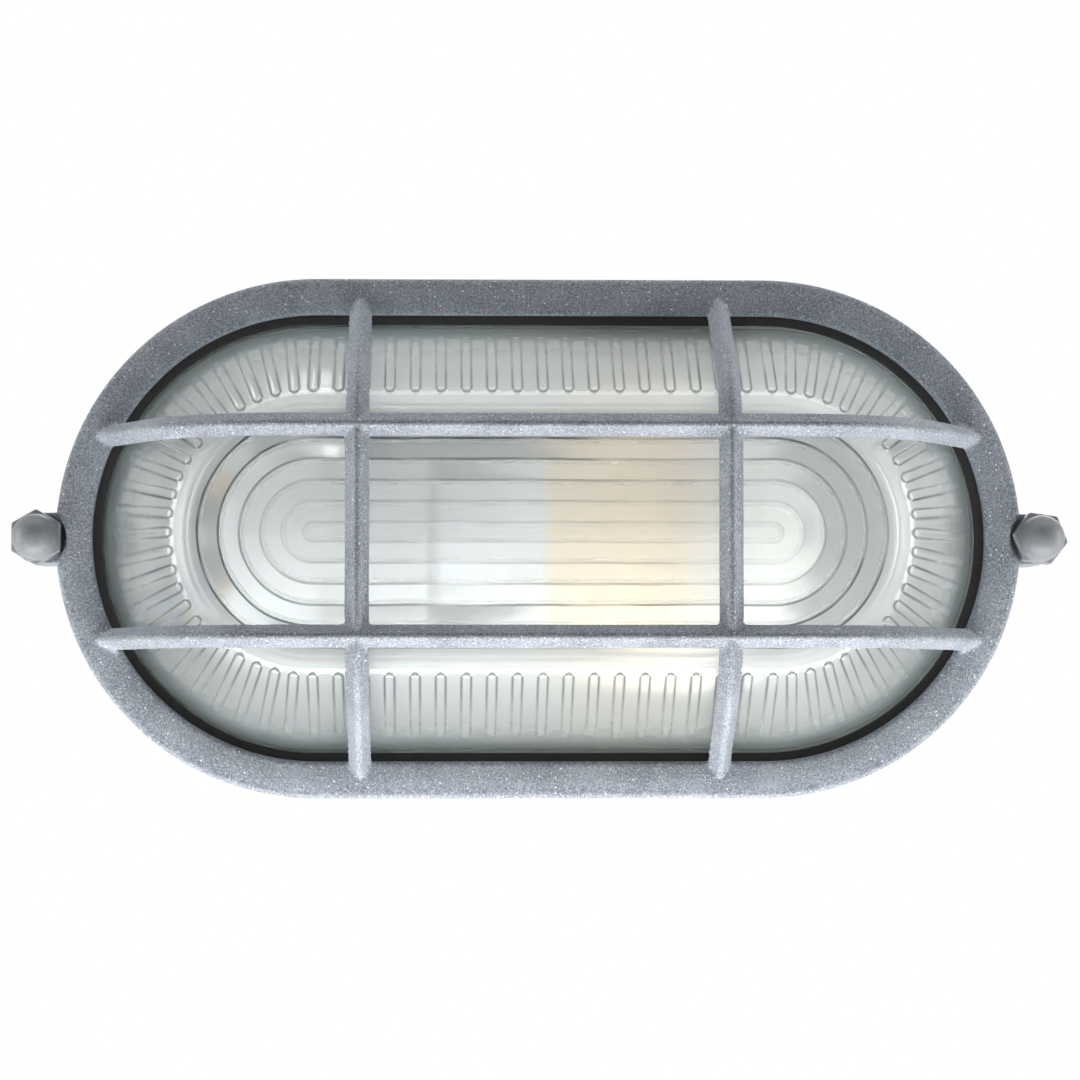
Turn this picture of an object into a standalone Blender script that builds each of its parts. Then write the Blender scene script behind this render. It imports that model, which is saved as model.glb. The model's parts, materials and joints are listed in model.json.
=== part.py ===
"""Oval bulkhead lamp: a cast housing, a ribbed glass and a cast guard frame.

Metres. Each piece is drawn in plan: X along the lamp, Y up the wall, Z out of
the wall, with the origin in the middle of the flat back. The empty
"wall_frame" then stands the lamp upright, glass towards -Y and top towards +Z.
"""
import math

import bmesh
import bpy
from mathutils import Matrix, Vector

# Plan of the lamp: a stadium, two half circles joined by straights
LAMP_LENGTH = 0.210
SEAT_GAP = 0.0003
CUT_OVERRUN = 0.002

# Facets of a half-circle end, and of whole circles
HOUSING_END_STEPS = 24
RING_END_STEPS = 30
GLASS_END_STEPS = 20
TURNED_STEPS = 22
PAD_STEPS = 20
HOLE_STEPS = 12

# Housing casting
HOUSING_DEPTH = 0.044
HOUSING_FLOOR = 0.003
HOUSING_WALL = 0.0035
HOUSING_SIDE_DRAFT = 0.0017
HOUSING_BACK_FILLET = 0.0045
HOUSING_RIM_WIDTH = 0.0048
HOUSING_RIM_STEP_BACK = 0.0005
HOUSING_RIM_THICKNESS = 0.0045
HOUSING_RIM_FILLET = 0.0012
PAD_HEIGHT = 0.003
MOUNT_SPACING = 0.076
MOUNT_HOLE_R = 0.0026
MOUNT_BOSS_R = 0.006

# Ears at both ends, and the stud and cap nut that clamp them together
EAR_OUTSET = 0.0041
EAR_R = 0.0056
HOUSING_EAR_DEPTH = 0.008
GUARD_EAR_DEPTH = 0.0057
STUD_R = 0.003
STUD_CHAMFER = 0.0006
STUD_EMBEDDED = 0.0068
STUD_IN_NUT = 0.0085
NUT_ACROSS_FLATS = 0.0106
NUT_HEX_HEIGHT = 0.0052
NUT_DOME_R = 0.0049
NUT_HEIGHT = 0.0122
NUT_ROOF = 0.0028
NUT_TURN_LEFT = 0.0
NUT_TURN_RIGHT = 22.0
NUT_POCKET_CLEARANCE = 0.0004

# Guard frame casting
RING_OUTER_R = 0.0565
RING_BAND = 0.008
RING_SKIRT = 0.0028
RING_WEB = 0.003
RING_EDGE_ROUND = 0.0008
GUARD_GLASS_CLEARANCE = 0.0068
BAR_WIDTH = 0.0053
BAR_HEIGHT = 0.0037
BAR_RIDGE_WIDTH = 0.0013
BAR_SLOPE = math.radians(60.0)
BAR_ARC_STEPS = 6
BAR_TIP_INSET = 0.0044
BAR_FOOT_DEPTH = 0.0027
LONG_BAR_OFFSET = 0.0221
LONG_BAR_ARC_R = 0.034
CROSS_BAR_OFFSET = 0.039
CROSS_BAR_ARC_R = 0.020

# Rubber gasket, a U that wraps the flange of the glass
GASKET_LIP = 0.0014
GASKET_BACK_LIP_WIDTH = 0.0052
GASKET_FRONT_LIP_WIDTH = 0.0067

# Pressed glass
GLASS_FLANGE = 0.004
GLASS_FLANGE_WIDTH = 0.0054
GLASS_NECK_HEIGHT = 0.0047
GLASS_NECK_DRAFT = 0.0006
GLASS_WALL = 0.0038
SHOULDER_STEP_IN = 0.0026
SHOULDER_BOTTOM_HEIGHT = 0.009
SHOULDER_WIDTH = 0.0132
SHOULDER_TOP_DROP = 0.0029
FRONT_EDGE_WIDTH = 0.0040
FRONT_EDGE_DROP = 0.0012
LENS_RING_COUNT = 6
LENS_RING_INNER_R = 0.0021
LENS_RING_MARGIN = 0.0023
LENS_RING_STEP = 0.0005
RIB_R = 0.0012
RIB_STAND = 0.0005
RIB_PITCH = 0.0054
RIB_FAN_STEP = math.radians(7.5)
RIB_INNER_OVERRUN = 0.0009
RIB_OUTER_MARGIN = 0.0005
RIB_TAPER = 0.6

# Light source, on one axis along the lamp
BULB_R = 0.030
BULB_TRAY_CLEARANCE = 0.002
BULB_GLASS_CLEARANCE = 0.0022
BULB_LENGTH = 0.112
BULB_CAP_R = 0.0130
BULB_CAP_LENGTH = 0.027
BULB_NECK_R = 0.0145
BULB_CAP_STEP = 0.0012
BULB_CONE_HEIGHT = 0.005
BULB_FOOT_R = 0.0094
BULB_FOOT_HEIGHT = 0.0022
BULB_TIP_R = 0.0045
BULB_TIP_HEIGHT = 0.0014
BULB_CROWN_STEPS = 6
BULB_FLANK_STEPS = 7
HOLDER_LENGTH = 0.044
HOLDER_FRONT_R = 0.0190
HOLDER_BASE_R = 0.0220
HOLDER_BASE_LENGTH = 0.020
HOLDER_BORE_DEPTH = 0.031
HOLDER_CHAMFER = 0.0015
SHELL_THICKNESS = 0.0006
SHELL_BULB_CLEARANCE = 0.0004
SHELL_MOUTH_INSET = 0.001
SHELL_LIP = 0.002
CONTACT_STAND = 0.0046
CONTACT_WIDTH = 0.006
CONTACT_REACH = 0.0084
CONTACT_FOLD_Y = 0.0059
CONTACT_FOLD_STAND = 0.001
CONTACT_PAD = 0.0034

# Bracket that carries the lampholder
BRACKET_THICKNESS = 0.0015
BRACKET_BLOCK_CLEARANCE = 0.0082
BRACKET_WIDTH = 0.018
BRACKET_FOOT = 0.0230
BRACKET_BEND_R = 0.003
BRACKET_TOP_MARGIN = 0.008
HOLDER_SCREW_SPACING = 0.024
BRACKET_SCREW_SPACING = 0.011

# Reflector tray behind the bulb
REFLECTOR_HEIGHT = 0.0117
REFLECTOR_SHEET = 0.0008
REFLECTOR_FLOOR_MARGIN = 0.008
REFLECTOR_RIM_DROP = 0.005
REFLECTOR_SIDE_GAP = 0.0007
REFLECTOR_BEND = 0.004
REFLECTOR_BEND_RISE = 0.0024
REFLECTOR_CUT_X = -0.0335
REFLECTOR_POST_R = 0.004
REFLECTOR_SCREW_LEFT_X = -0.018
REFLECTOR_SCREW_RIGHT_X = 0.076

# Terminal block, earth point and cable entry
BLOCK_WALL_CLEARANCE = 0.001
BLOCK_LENGTH = 0.0216
BLOCK_WIDTH = 0.012
BLOCK_HEIGHT = 0.012
BLOCK_LUG_LENGTH = 0.0348
BLOCK_LUG_HEIGHT = 0.005
BLOCK_SCREW_SPACING = 0.0284
POLE_COUNT = 3
POLE_PITCH = 0.0072
POLE_SCREW_R = 0.0019
POLE_SCREW_HEIGHT = 0.0024
POLE_WELL_DEPTH = 0.004
POLE_BORE_R = 0.0019
POLE_BORE_ABOVE_SEAT = 0.0048
EARTH_X = -0.066
EARTH_OFF_MIDDLE = 0.0005
EARTH_BOSS_R = 0.0050
EARTH_LUG_R = 0.0046
EARTH_LUG_THICKNESS = 0.0010
EARTH_BARREL_R = 0.0022
EARTH_BARREL_LENGTH = 0.005
EARTH_BARREL_OVERLAP = 0.001
ENTRY_X = -0.050
ENTRY_OFF_MIDDLE = 0.0005
ENTRY_HOLE_R = 0.008
ENTRY_BOSS_R = 0.0122
ENTRY_BOSS_HEIGHT = 0.002
ENTRY_RECESS_DEPTH = 0.0018
GROMMET_FLANGE_R = 0.0098
GROMMET_FLANGE = 0.0014
GROMMET_BORE_R = 0.005

# Small screws
SCREW_R = 0.0016
SCREW_HEAD_R = 0.0031
SCREW_HEAD_HEIGHT = 0.0021
SCREW_CROWN_R = 0.0022
SCREW_BRIM = 0.0012
SCREW_LENGTH = 0.0045
SCREW_SLOT = 0.0007
SCREW_SLOT_DEPTH = 0.0009
SCREW_HOLE_CLEARANCE = 0.0003

# Wires inside the lamp
WIRE_R = 0.0013
WIRE_TERMINAL_SIZE = (0.005, 0.007, 0.008)
WIRE_TERMINAL_Y = 0.0135
WIRE_TERMINAL_EDGE = 0.0006
WIRE_POINTS = 15
WIRE_IN_BLOCK = 0.002
WIRE_STRAIGHT = 0.0015
WIRE_BEND = 0.0045
WIRE_BEND_RISE = 0.0036
WIRE_DROP = 0.012
WIRE_SPLAY = 0.0025
WIRE_TURN = 0.003
WIRE_FALL = 0.008
LIVE_LEAD = 0.005
NEUTRAL_LEAD = 0.007
EARTH_WIRE_BENDS = ((-0.0735, -0.002, 0.0091), (-0.0735, -0.008, 0.0056),
                    (-0.0750, -0.019, 0.0056), (-0.0820, -0.025, 0.0066))
EARTH_WIRE_LEAD = 0.004

# Radii of the oval that follow from its length and the ring's outer radius
HALF_STRAIGHT = LAMP_LENGTH / 2 - RING_OUTER_R
RING_INNER_R = RING_OUTER_R - RING_BAND
GASKET_OUTER_R = RING_OUTER_R - RING_SKIRT - SEAT_GAP
HOUSING_RIM_R = RING_OUTER_R - HOUSING_RIM_STEP_BACK
HOUSING_FRONT_R = HOUSING_RIM_R - HOUSING_RIM_WIDTH
HOUSING_BACK_R = HOUSING_FRONT_R - HOUSING_SIDE_DRAFT
HOUSING_INNER_R = HOUSING_BACK_R - HOUSING_WALL
EAR_X = LAMP_LENGTH / 2 + EAR_OUTSET
GLASS_FLANGE_R = GASKET_OUTER_R - GASKET_LIP - SEAT_GAP
GLASS_NECK_R = GLASS_FLANGE_R - GLASS_FLANGE_WIDTH
SHOULDER_BOTTOM_R = GLASS_NECK_R - SHOULDER_STEP_IN
SHOULDER_TOP_R = SHOULDER_BOTTOM_R - SHOULDER_WIDTH
FRONT_EDGE_R = SHOULDER_TOP_R - FRONT_EDGE_WIDTH
LENS_RING_PITCH = (FRONT_EDGE_R - LENS_RING_MARGIN - LENS_RING_INNER_R) / (LENS_RING_COUNT - 1)
RIB_INNER_R = SHOULDER_TOP_R - RIB_INNER_OVERRUN
RIB_OUTER_R = SHOULDER_BOTTOM_R - RIB_OUTER_MARGIN
REFLECTOR_FLOOR_R = HOUSING_INNER_R - REFLECTOR_FLOOR_MARGIN

# Places on the housing's floor
BRACKET_TO_WALL_MIDDLE = (HOUSING_INNER_R + BRACKET_WIDTH / 2) / 2
ENTRY_Y = BRACKET_TO_WALL_MIDDLE - ENTRY_OFF_MIDDLE
EARTH_Y = -BRACKET_TO_WALL_MIDDLE - EARTH_OFF_MIDDLE
BLOCK_REACH = math.sqrt((HOUSING_INNER_R - BLOCK_WALL_CLEARANCE) ** 2 - (BLOCK_LUG_LENGTH / 2) ** 2)
BLOCK_X = BLOCK_WIDTH / 2 - HALF_STRAIGHT - BLOCK_REACH

# Heights that several pieces share
PAD_TOP = HOUSING_FLOOR + PAD_HEIGHT
LAMP_AXIS_HEIGHT = REFLECTOR_HEIGHT + REFLECTOR_SHEET + BULB_TRAY_CLEARANCE + BULB_R
REFLECTOR_RIM_HEIGHT = HOUSING_DEPTH - REFLECTOR_RIM_DROP
GASKET_BOTTOM = HOUSING_DEPTH + SEAT_GAP
FLANGE_BACK = GASKET_BOTTOM + GASKET_LIP + SEAT_GAP
FLANGE_FRONT = FLANGE_BACK + GLASS_FLANGE
GASKET_TOP = FLANGE_FRONT + SEAT_GAP + GASKET_LIP
WEB_BACK = GASKET_TOP + SEAT_GAP
RING_FACE = WEB_BACK + RING_WEB
GLASS_FRONT = LAMP_AXIS_HEIGHT + BULB_R + BULB_GLASS_CLEARANCE + GLASS_WALL
SHOULDER_TOP_HEIGHT = GLASS_FRONT - SHOULDER_TOP_DROP - FLANGE_FRONT
GUARD_TOP = GLASS_FRONT + GUARD_GLASS_CLEARANCE + BAR_HEIGHT
EAR_FACE = HOUSING_DEPTH + SEAT_GAP + GUARD_EAR_DEPTH
NUT_SEAT = EAR_FACE + SEAT_GAP
NUT_CORNER_R = NUT_ACROSS_FLATS / 2 / math.cos(math.pi / 6)
BRACKET_BACK_X = BLOCK_X + BLOCK_WIDTH / 2 + BRACKET_BLOCK_CLEARANCE
BRACKET_FRONT_X = BRACKET_BACK_X + BRACKET_THICKNESS
HOLDER_BACK_X = BRACKET_FRONT_X + SEAT_GAP
HOLDER_MOUTH_X = HOLDER_BACK_X + HOLDER_LENGTH
HOLDER_BORE_X = HOLDER_MOUTH_X - HOLDER_BORE_DEPTH
SHELL_INNER_R = BULB_CAP_R + SHELL_BULB_CLEARANCE
SHELL_OUTER_R = SHELL_INNER_R + SHELL_THICKNESS
HOLDER_BORE_R = SHELL_OUTER_R + SEAT_GAP
BULB_TIP_X = HOLDER_BORE_X + SEAT_GAP + CONTACT_STAND + SEAT_GAP
BRACKET_SEAT = PAD_TOP + SEAT_GAP
BLOCK_SEAT = PAD_TOP + SEAT_GAP
POLE_BORE_HEIGHT = BLOCK_SEAT + POLE_BORE_ABOVE_SEAT
SCREW_HOLE_R = SCREW_R + SCREW_HOLE_CLEARANCE


def clear_scene():
    for item in list(bpy.data.objects):
        bpy.data.objects.remove(item)
    for group in list(bpy.data.collections):
        bpy.data.collections.remove(group)


def new_collection(name):
    group = bpy.data.collections.new(name)
    bpy.context.scene.collection.children.link(group)
    return group


def new_material(name, colour, roughness, metallic=0.0):
    material = bpy.data.materials.new(name)
    material.use_nodes = True
    shader = material.node_tree.nodes["Principled BSDF"]
    shader.inputs["Base Color"].default_value = (*colour, 1.0)
    shader.inputs["Roughness"].default_value = roughness
    shader.inputs["Metallic"].default_value = metallic
    material.diffuse_color = (*colour, 1.0)
    return material


def make_materials():
    return {
        "cast_paint": new_material("cast_paint", (0.26, 0.28, 0.32), 0.45, 0.2),
        "clear_glass": new_material("clear_glass", (0.80, 0.88, 0.85), 0.05),
        "black_rubber": new_material("black_rubber", (0.02, 0.02, 0.02), 0.7),
        "white_enamel": new_material("white_enamel", (0.85, 0.85, 0.83), 0.35),
        "porcelain": new_material("porcelain", (0.78, 0.78, 0.75), 0.2),
        "nickel": new_material("nickel", (0.62, 0.60, 0.55), 0.3, 1.0),
        "brass": new_material("brass", (0.72, 0.52, 0.22), 0.3, 1.0),
        "zinc_steel": new_material("zinc_steel", (0.60, 0.61, 0.62), 0.35, 1.0),
        "opal_bulb": new_material("opal_bulb", (0.95, 0.82, 0.60), 0.3),
        "brown_wire": new_material("brown_wire", (0.16, 0.06, 0.03), 0.5),
        "blue_wire": new_material("blue_wire", (0.03, 0.14, 0.42), 0.5),
        "earth_wire": new_material("earth_wire", (0.35, 0.55, 0.05), 0.5),
    }


def new_piece(name, mesh, material):
    piece = bpy.data.objects.new(name, mesh)
    mesh.materials.append(MATERIALS[material])
    LAMP.objects.link(piece)
    piece.parent = WALL_FRAME
    return piece


def new_cutter(name, mesh):
    cutter = bpy.data.objects.new(name, mesh)
    TOOLS.objects.link(cutter)
    cutter.parent = WALL_FRAME
    cutter.display_type = "WIRE"
    cutter.hide_render = True
    return cutter


def mesh_from(name, shape):
    bmesh.ops.recalc_face_normals(shape, faces=shape.faces)
    mesh = bpy.data.meshes.new(name)
    shape.to_mesh(mesh)
    shape.free()
    return mesh


def shade_round(mesh, angle=35.0):
    mesh.shade_smooth()
    mesh.set_sharp_from_angle(angle=math.radians(angle))


def boolean(piece, tool, operation):
    step = piece.modifiers.new(f"{operation.lower()}_{tool.name}", "BOOLEAN")
    step.operation = operation
    step.object = tool
    step.solver = "EXACT"


# Shapes that are added to one bmesh, so that a tool can have many bodies

def add_cylinder(shape, centre, radius, bottom, top, steps=HOLE_STEPS):
    place = Matrix.Translation((centre[0], centre[1], (bottom + top) / 2))
    bmesh.ops.create_cone(shape, cap_ends=True, segments=steps, radius1=radius,
                          radius2=radius, depth=top - bottom, matrix=place)


def add_box(shape, low, high):
    size = Vector(high) - Vector(low)
    middle = (Vector(high) + Vector(low)) / 2
    place = Matrix.Translation(middle) @ Matrix.Diagonal((*size, 1.0))
    bmesh.ops.create_cube(shape, size=1.0, matrix=place)


def add_x_cylinder(shape, start, radius, length, steps=HOLE_STEPS):
    place = Matrix.Translation((start[0] + length / 2, start[1], start[2]))
    place = place @ Matrix.Rotation(math.pi / 2, 4, "Y")
    bmesh.ops.create_cone(shape, cap_ends=True, segments=steps, radius1=radius,
                          radius2=radius, depth=length, matrix=place)


def stadium_sweep(profile, closed, steps):
    """Carry a profile of (radius, height) points once round the stadium."""
    shape = bmesh.new()
    points = [shape.verts.new((HALF_STRAIGHT, -radius, height)) for radius, height in profile]
    pairs = list(zip(points, points[1:]))
    if closed:
        pairs.append((points[-1], points[0]))
    front = [shape.edges.new(pair) for pair in pairs]
    for end in (1.0, -1.0):
        turned = bmesh.ops.spin(shape, geom=front, cent=(end * HALF_STRAIGHT, 0.0, 0.0),
                                axis=(0.0, 0.0, 1.0), angle=math.pi, steps=steps)
        front = [item for item in turned["geom_last"] if isinstance(item, bmesh.types.BMEdge)]
        drawn = bmesh.ops.extrude_edge_only(shape, edges=front)["geom"]
        front = [item for item in drawn if isinstance(item, bmesh.types.BMEdge)]
        front = [edge for edge in front if len(edge.link_faces) == 1]
        moved = [item for item in drawn if isinstance(item, bmesh.types.BMVert)]
        bmesh.ops.translate(shape, verts=moved, vec=(-2 * end * HALF_STRAIGHT, 0.0, 0.0))
    bmesh.ops.remove_doubles(shape, verts=shape.verts, dist=1e-6)
    return shape


def turned(name, profile, material, closed=False, steps=TURNED_STEPS, along_x=False, place=(0, 0, 0)):
    """A profile of (radius, height) points, run down its outer side, under a Screw."""
    mesh = bpy.data.meshes.new(name)
    edges = [(i, i + 1) for i in range(len(profile) - 1)]
    if closed:
        edges.append((len(profile) - 1, 0))
    mesh.from_pydata([(radius, 0.0, height) for radius, height in profile], edges, [])
    piece = new_piece(name, mesh, material)
    screw = piece.modifiers.new("turn", "SCREW")
    screw.steps = steps
    screw.render_steps = steps
    screw.use_merge_vertices = True
    screw.merge_threshold = 0.00001
    piece.location = place
    if along_x:
        piece.rotation_euler = (0.0, math.pi / 2, 0.0)
    return piece


def arc(centre, radius, start, end, steps):
    """Points of an arc, with angles in degrees from the +radius direction."""
    points = []
    for i in range(steps + 1):
        angle = math.radians(start + (end - start) * i / steps)
        points.append((centre[0] + radius * math.cos(angle), centre[1] + radius * math.sin(angle)))
    return points


# Housing

def housing_profile():
    fillet = HOUSING_BACK_FILLET
    inner_front_r = HOUSING_FRONT_R - HOUSING_WALL
    rim_back = HOUSING_DEPTH - HOUSING_RIM_THICKNESS
    outer = [(0.0, 0.0)]
    outer += arc((HOUSING_BACK_R - fillet, fillet), fillet, -90, 0, 3)
    outer += [(HOUSING_FRONT_R, rim_back - HOUSING_RIM_FILLET),
              (HOUSING_FRONT_R + HOUSING_RIM_FILLET, rim_back)]
    outer += [(HOUSING_RIM_R, rim_back), (HOUSING_RIM_R, HOUSING_DEPTH)]
    inner = [(inner_front_r, HOUSING_DEPTH)]
    inner += arc((HOUSING_INNER_R - fillet, HOUSING_FLOOR + fillet), fillet, 0, -90, 3)
    inner += [(0.0, HOUSING_FLOOR)]
    return outer + inner


def mount_places():
    return [(-MOUNT_SPACING / 2, 0.0), (MOUNT_SPACING / 2, 0.0)]


def bracket_screw_places():
    middle = BRACKET_BACK_X + BRACKET_FOOT / 2 + BRACKET_BEND_R / 2
    half = BRACKET_SCREW_SPACING / 2
    return [(middle - half, 0.0), (middle + half, 0.0)]


def reflector_screw_places():
    return [(REFLECTOR_SCREW_LEFT_X, 0.0), (REFLECTOR_SCREW_RIGHT_X, 0.0)]


def block_screw_places():
    return [(BLOCK_X, -BLOCK_SCREW_SPACING / 2), (BLOCK_X, BLOCK_SCREW_SPACING / 2)]


def housing_bosses():
    """One tool for each kind of boss, so that two kinds may run into each other."""
    sunk = HOUSING_FLOOR / 2
    half = BRACKET_WIDTH / 2
    kinds = ("bracket_pad", "block_pad", "mount_bosses", "reflector_posts", "earth_boss", "entry_boss")
    shapes = {kind: bmesh.new() for kind in kinds}
    add_box(shapes["bracket_pad"], (BRACKET_BACK_X, -half, sunk),
            (BRACKET_BACK_X + BRACKET_FOOT, half, PAD_TOP))
    add_box(shapes["block_pad"], (BLOCK_X - BLOCK_WIDTH / 2, -BLOCK_LUG_LENGTH / 2, sunk),
            (BLOCK_X + BLOCK_WIDTH / 2, BLOCK_LUG_LENGTH / 2, PAD_TOP))
    for place in mount_places():
        add_cylinder(shapes["mount_bosses"], place, MOUNT_BOSS_R, sunk, PAD_TOP, PAD_STEPS)
    for place in reflector_screw_places():
        add_cylinder(shapes["reflector_posts"], place, REFLECTOR_POST_R, sunk, REFLECTOR_HEIGHT - SEAT_GAP)
    add_cylinder(shapes["earth_boss"], (EARTH_X, EARTH_Y), EARTH_BOSS_R, sunk, PAD_TOP)
    entry_top = HOUSING_FLOOR + ENTRY_BOSS_HEIGHT
    add_cylinder(shapes["entry_boss"], (ENTRY_X, ENTRY_Y), ENTRY_BOSS_R, sunk, entry_top, PAD_STEPS)
    return [new_cutter(kind, mesh_from(kind, shape)) for kind, shape in shapes.items()]


def ear_tool(name, bottom, top, reach):
    """One tool for both ears: each is a round pad and the neck that carries it."""
    pads = bmesh.new()
    necks = bmesh.new()
    for side in (-1, 1):
        root = side * (HALF_STRAIGHT + reach)
        tip = side * EAR_X
        add_cylinder(pads, (tip, 0.0), EAR_R, bottom, top, PAD_STEPS)
        add_box(necks, (min(root, tip), -EAR_R, bottom), (max(root, tip), EAR_R, top))
    pad_tool = new_cutter(name + "_pads", mesh_from(name + "_pads", pads))
    neck_tool = new_cutter(name + "_necks", mesh_from(name + "_necks", necks))
    return pad_tool, neck_tool


def housing_holes():
    shape = bmesh.new()
    above = PAD_TOP + CUT_OVERRUN
    for place in mount_places():
        add_cylinder(shape, place, MOUNT_HOLE_R, -CUT_OVERRUN, above, PAD_STEPS)
    for place in bracket_screw_places() + block_screw_places() + [(EARTH_X, EARTH_Y)]:
        add_cylinder(shape, place, SCREW_HOLE_R, HOUSING_FLOOR, above)
    post_top = REFLECTOR_HEIGHT - SEAT_GAP
    for place in reflector_screw_places():
        add_cylinder(shape, place, SCREW_HOLE_R, post_top - SCREW_LENGTH, post_top + CUT_OVERRUN)
    add_cylinder(shape, (ENTRY_X, ENTRY_Y), ENTRY_HOLE_R, -CUT_OVERRUN, above, PAD_STEPS)
    for side in (-1, 1):
        add_cylinder(shape, (side * EAR_X, 0.0), STUD_R + SEAT_GAP,
                     HOUSING_DEPTH - STUD_EMBEDDED - SEAT_GAP, HOUSING_DEPTH + CUT_OVERRUN)
    return new_cutter("housing_holes", mesh_from("housing_holes", shape))


def make_housing():
    shape = stadium_sweep(housing_profile(), closed=False, steps=HOUSING_END_STEPS)
    housing = new_piece("housing", mesh_from("housing", shape), "cast_paint")
    shade_round(housing.data)
    for boss in housing_bosses():
        boolean(housing, boss, "UNION")
    reach = HOUSING_FRONT_R - HOUSING_WALL / 2
    for tool in ear_tool("housing_ear", HOUSING_DEPTH - HOUSING_EAR_DEPTH, HOUSING_DEPTH, reach):
        boolean(housing, tool, "UNION")
    boolean(housing, housing_holes(), "DIFFERENCE")
    recess = bmesh.new()
    add_cylinder(recess, (ENTRY_X, ENTRY_Y), GROMMET_FLANGE_R + SEAT_GAP, -CUT_OVERRUN,
                 ENTRY_RECESS_DEPTH, PAD_STEPS)
    boolean(housing, new_cutter("entry_recess", mesh_from("entry_recess", recess)), "DIFFERENCE")
    return housing


# Guard frame

def guard_ring_profile():
    skirt_r = GASKET_OUTER_R + SEAT_GAP
    edge = RING_EDGE_ROUND
    outer = arc((RING_OUTER_R - edge, RING_FACE - edge), edge, 90, 0, 2)
    return [(RING_INNER_R, WEB_BACK), (RING_INNER_R, RING_FACE)] + outer + [
        (RING_OUTER_R, HOUSING_DEPTH + SEAT_GAP), (skirt_r, HOUSING_DEPTH + SEAT_GAP),
        (skirt_r, WEB_BACK)]


def bar_path(half_reach, arc_radius):
    """Underside of a bar: up from the ring at a slope, round an arc, and flat over the top."""
    low = RING_FACE - BAR_FOOT_DEPTH
    top = GUARD_TOP - BAR_HEIGHT
    ridge_low = low + BAR_HEIGHT * math.cos(BAR_SLOPE)
    emerge = (RING_FACE - ridge_low) / math.tan(BAR_SLOPE)
    foot = half_reach - BAR_TIP_INSET - BAR_HEIGHT * math.sin(BAR_SLOPE) + emerge
    straight_rise = top - low - arc_radius * (1 - math.cos(BAR_SLOPE))
    arc_start = foot - straight_rise / math.tan(BAR_SLOPE)
    centre = (arc_start - arc_radius * math.sin(BAR_SLOPE), top - arc_radius)
    slope = math.degrees(BAR_SLOPE)
    side = [(foot, low)] + arc(centre, arc_radius, 90 - slope, 90, BAR_ARC_STEPS)
    return side + [(-along, height) for along, height in reversed(side)]


def bar_section():
    """Cross-section of a bar: flat underside, sloping sides, narrow rounded ridge."""
    curve = bpy.data.curves.new("bar_section", "CURVE")
    curve.dimensions = "2D"
    half = BAR_WIDTH / 2
    ridge = BAR_RIDGE_WIDTH / 2
    shoulder = BAR_HEIGHT - ridge / 2
    outline = [(-half, 0), (half, 0), (ridge, shoulder), (0, BAR_HEIGHT), (-ridge, shoulder)]
    spline = curve.splines.new("POLY")
    spline.points.add(len(outline) - 1)
    for point, (across, up) in zip(spline.points, outline):
        point.co = (across, up, 0.0, 1.0)
    spline.use_cyclic_u = True
    section = bpy.data.objects.new("bar_section", curve)
    TOOLS.objects.link(section)
    section.display_type = "WIRE"
    section.hide_render = True
    return section


def curve_to_mesh(curve, name):
    holder = bpy.data.objects.new(name, curve)
    TOOLS.objects.link(holder)
    view = bpy.context.evaluated_depsgraph_get()
    mesh = bpy.data.meshes.new_from_object(holder.evaluated_get(view))
    bpy.data.objects.remove(holder)
    shape = bmesh.new()
    shape.from_mesh(mesh)
    bpy.data.meshes.remove(mesh)
    bmesh.ops.remove_doubles(shape, verts=shape.verts, dist=1e-6)
    return mesh_from(name, shape)


def bar_tool(name, path, section):
    curve = bpy.data.curves.new(name, "CURVE")
    curve.dimensions = "3D"
    curve.twist_mode = "Z_UP"
    curve.bevel_mode = "OBJECT"
    curve.bevel_object = section
    curve.use_fill_caps = True
    spline = curve.splines.new("POLY")
    spline.points.add(len(path) - 1)
    for point, place in zip(spline.points, path):
        point.co = (*place, 1.0)
    return new_cutter(name, curve_to_mesh(curve, name))


def guard_bars():
    section = bar_section()
    end_reach = HALF_STRAIGHT + math.sqrt(RING_OUTER_R ** 2 - LONG_BAR_OFFSET ** 2)
    bars = []
    for side, name in ((1, "upper_bar"), (-1, "lower_bar")):
        path = [(along, side * LONG_BAR_OFFSET, height)
                for along, height in bar_path(end_reach, LONG_BAR_ARC_R)]
        bars.append(bar_tool(name, path, section))
    for side, name in ((-1, "left_bar"), (1, "right_bar")):
        path = [(side * CROSS_BAR_OFFSET, along, height)
                for along, height in bar_path(RING_OUTER_R, CROSS_BAR_ARC_R)]
        bars.append(bar_tool(name, path, section))
    return bars


def make_guard_frame():
    shape = stadium_sweep(guard_ring_profile(), closed=True, steps=RING_END_STEPS)
    guard = new_piece("guard_frame", mesh_from("guard_frame", shape), "cast_paint")
    shade_round(guard.data)
    reach = (GASKET_OUTER_R + SEAT_GAP + RING_OUTER_R) / 2
    for tool in ear_tool("guard_ear", HOUSING_DEPTH + SEAT_GAP, EAR_FACE, reach):
        boolean(guard, tool, "UNION")
    pockets = bmesh.new()
    holes = bmesh.new()
    pocket_r = NUT_CORNER_R + NUT_POCKET_CLEARANCE
    for side in (-1, 1):
        place = (side * EAR_X, 0.0)
        add_cylinder(pockets, place, pocket_r, EAR_FACE, RING_FACE + CUT_OVERRUN, PAD_STEPS)
        add_cylinder(holes, place, STUD_R + SEAT_GAP, HOUSING_DEPTH - CUT_OVERRUN, EAR_FACE + CUT_OVERRUN)
    boolean(guard, new_cutter("nut_pockets", mesh_from("nut_pockets", pockets)), "DIFFERENCE")
    boolean(guard, new_cutter("guard_stud_holes", mesh_from("guard_stud_holes", holes)), "DIFFERENCE")
    for bar in guard_bars():
        boolean(guard, bar, "UNION")
    return guard


# Studs and cap nuts

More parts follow.
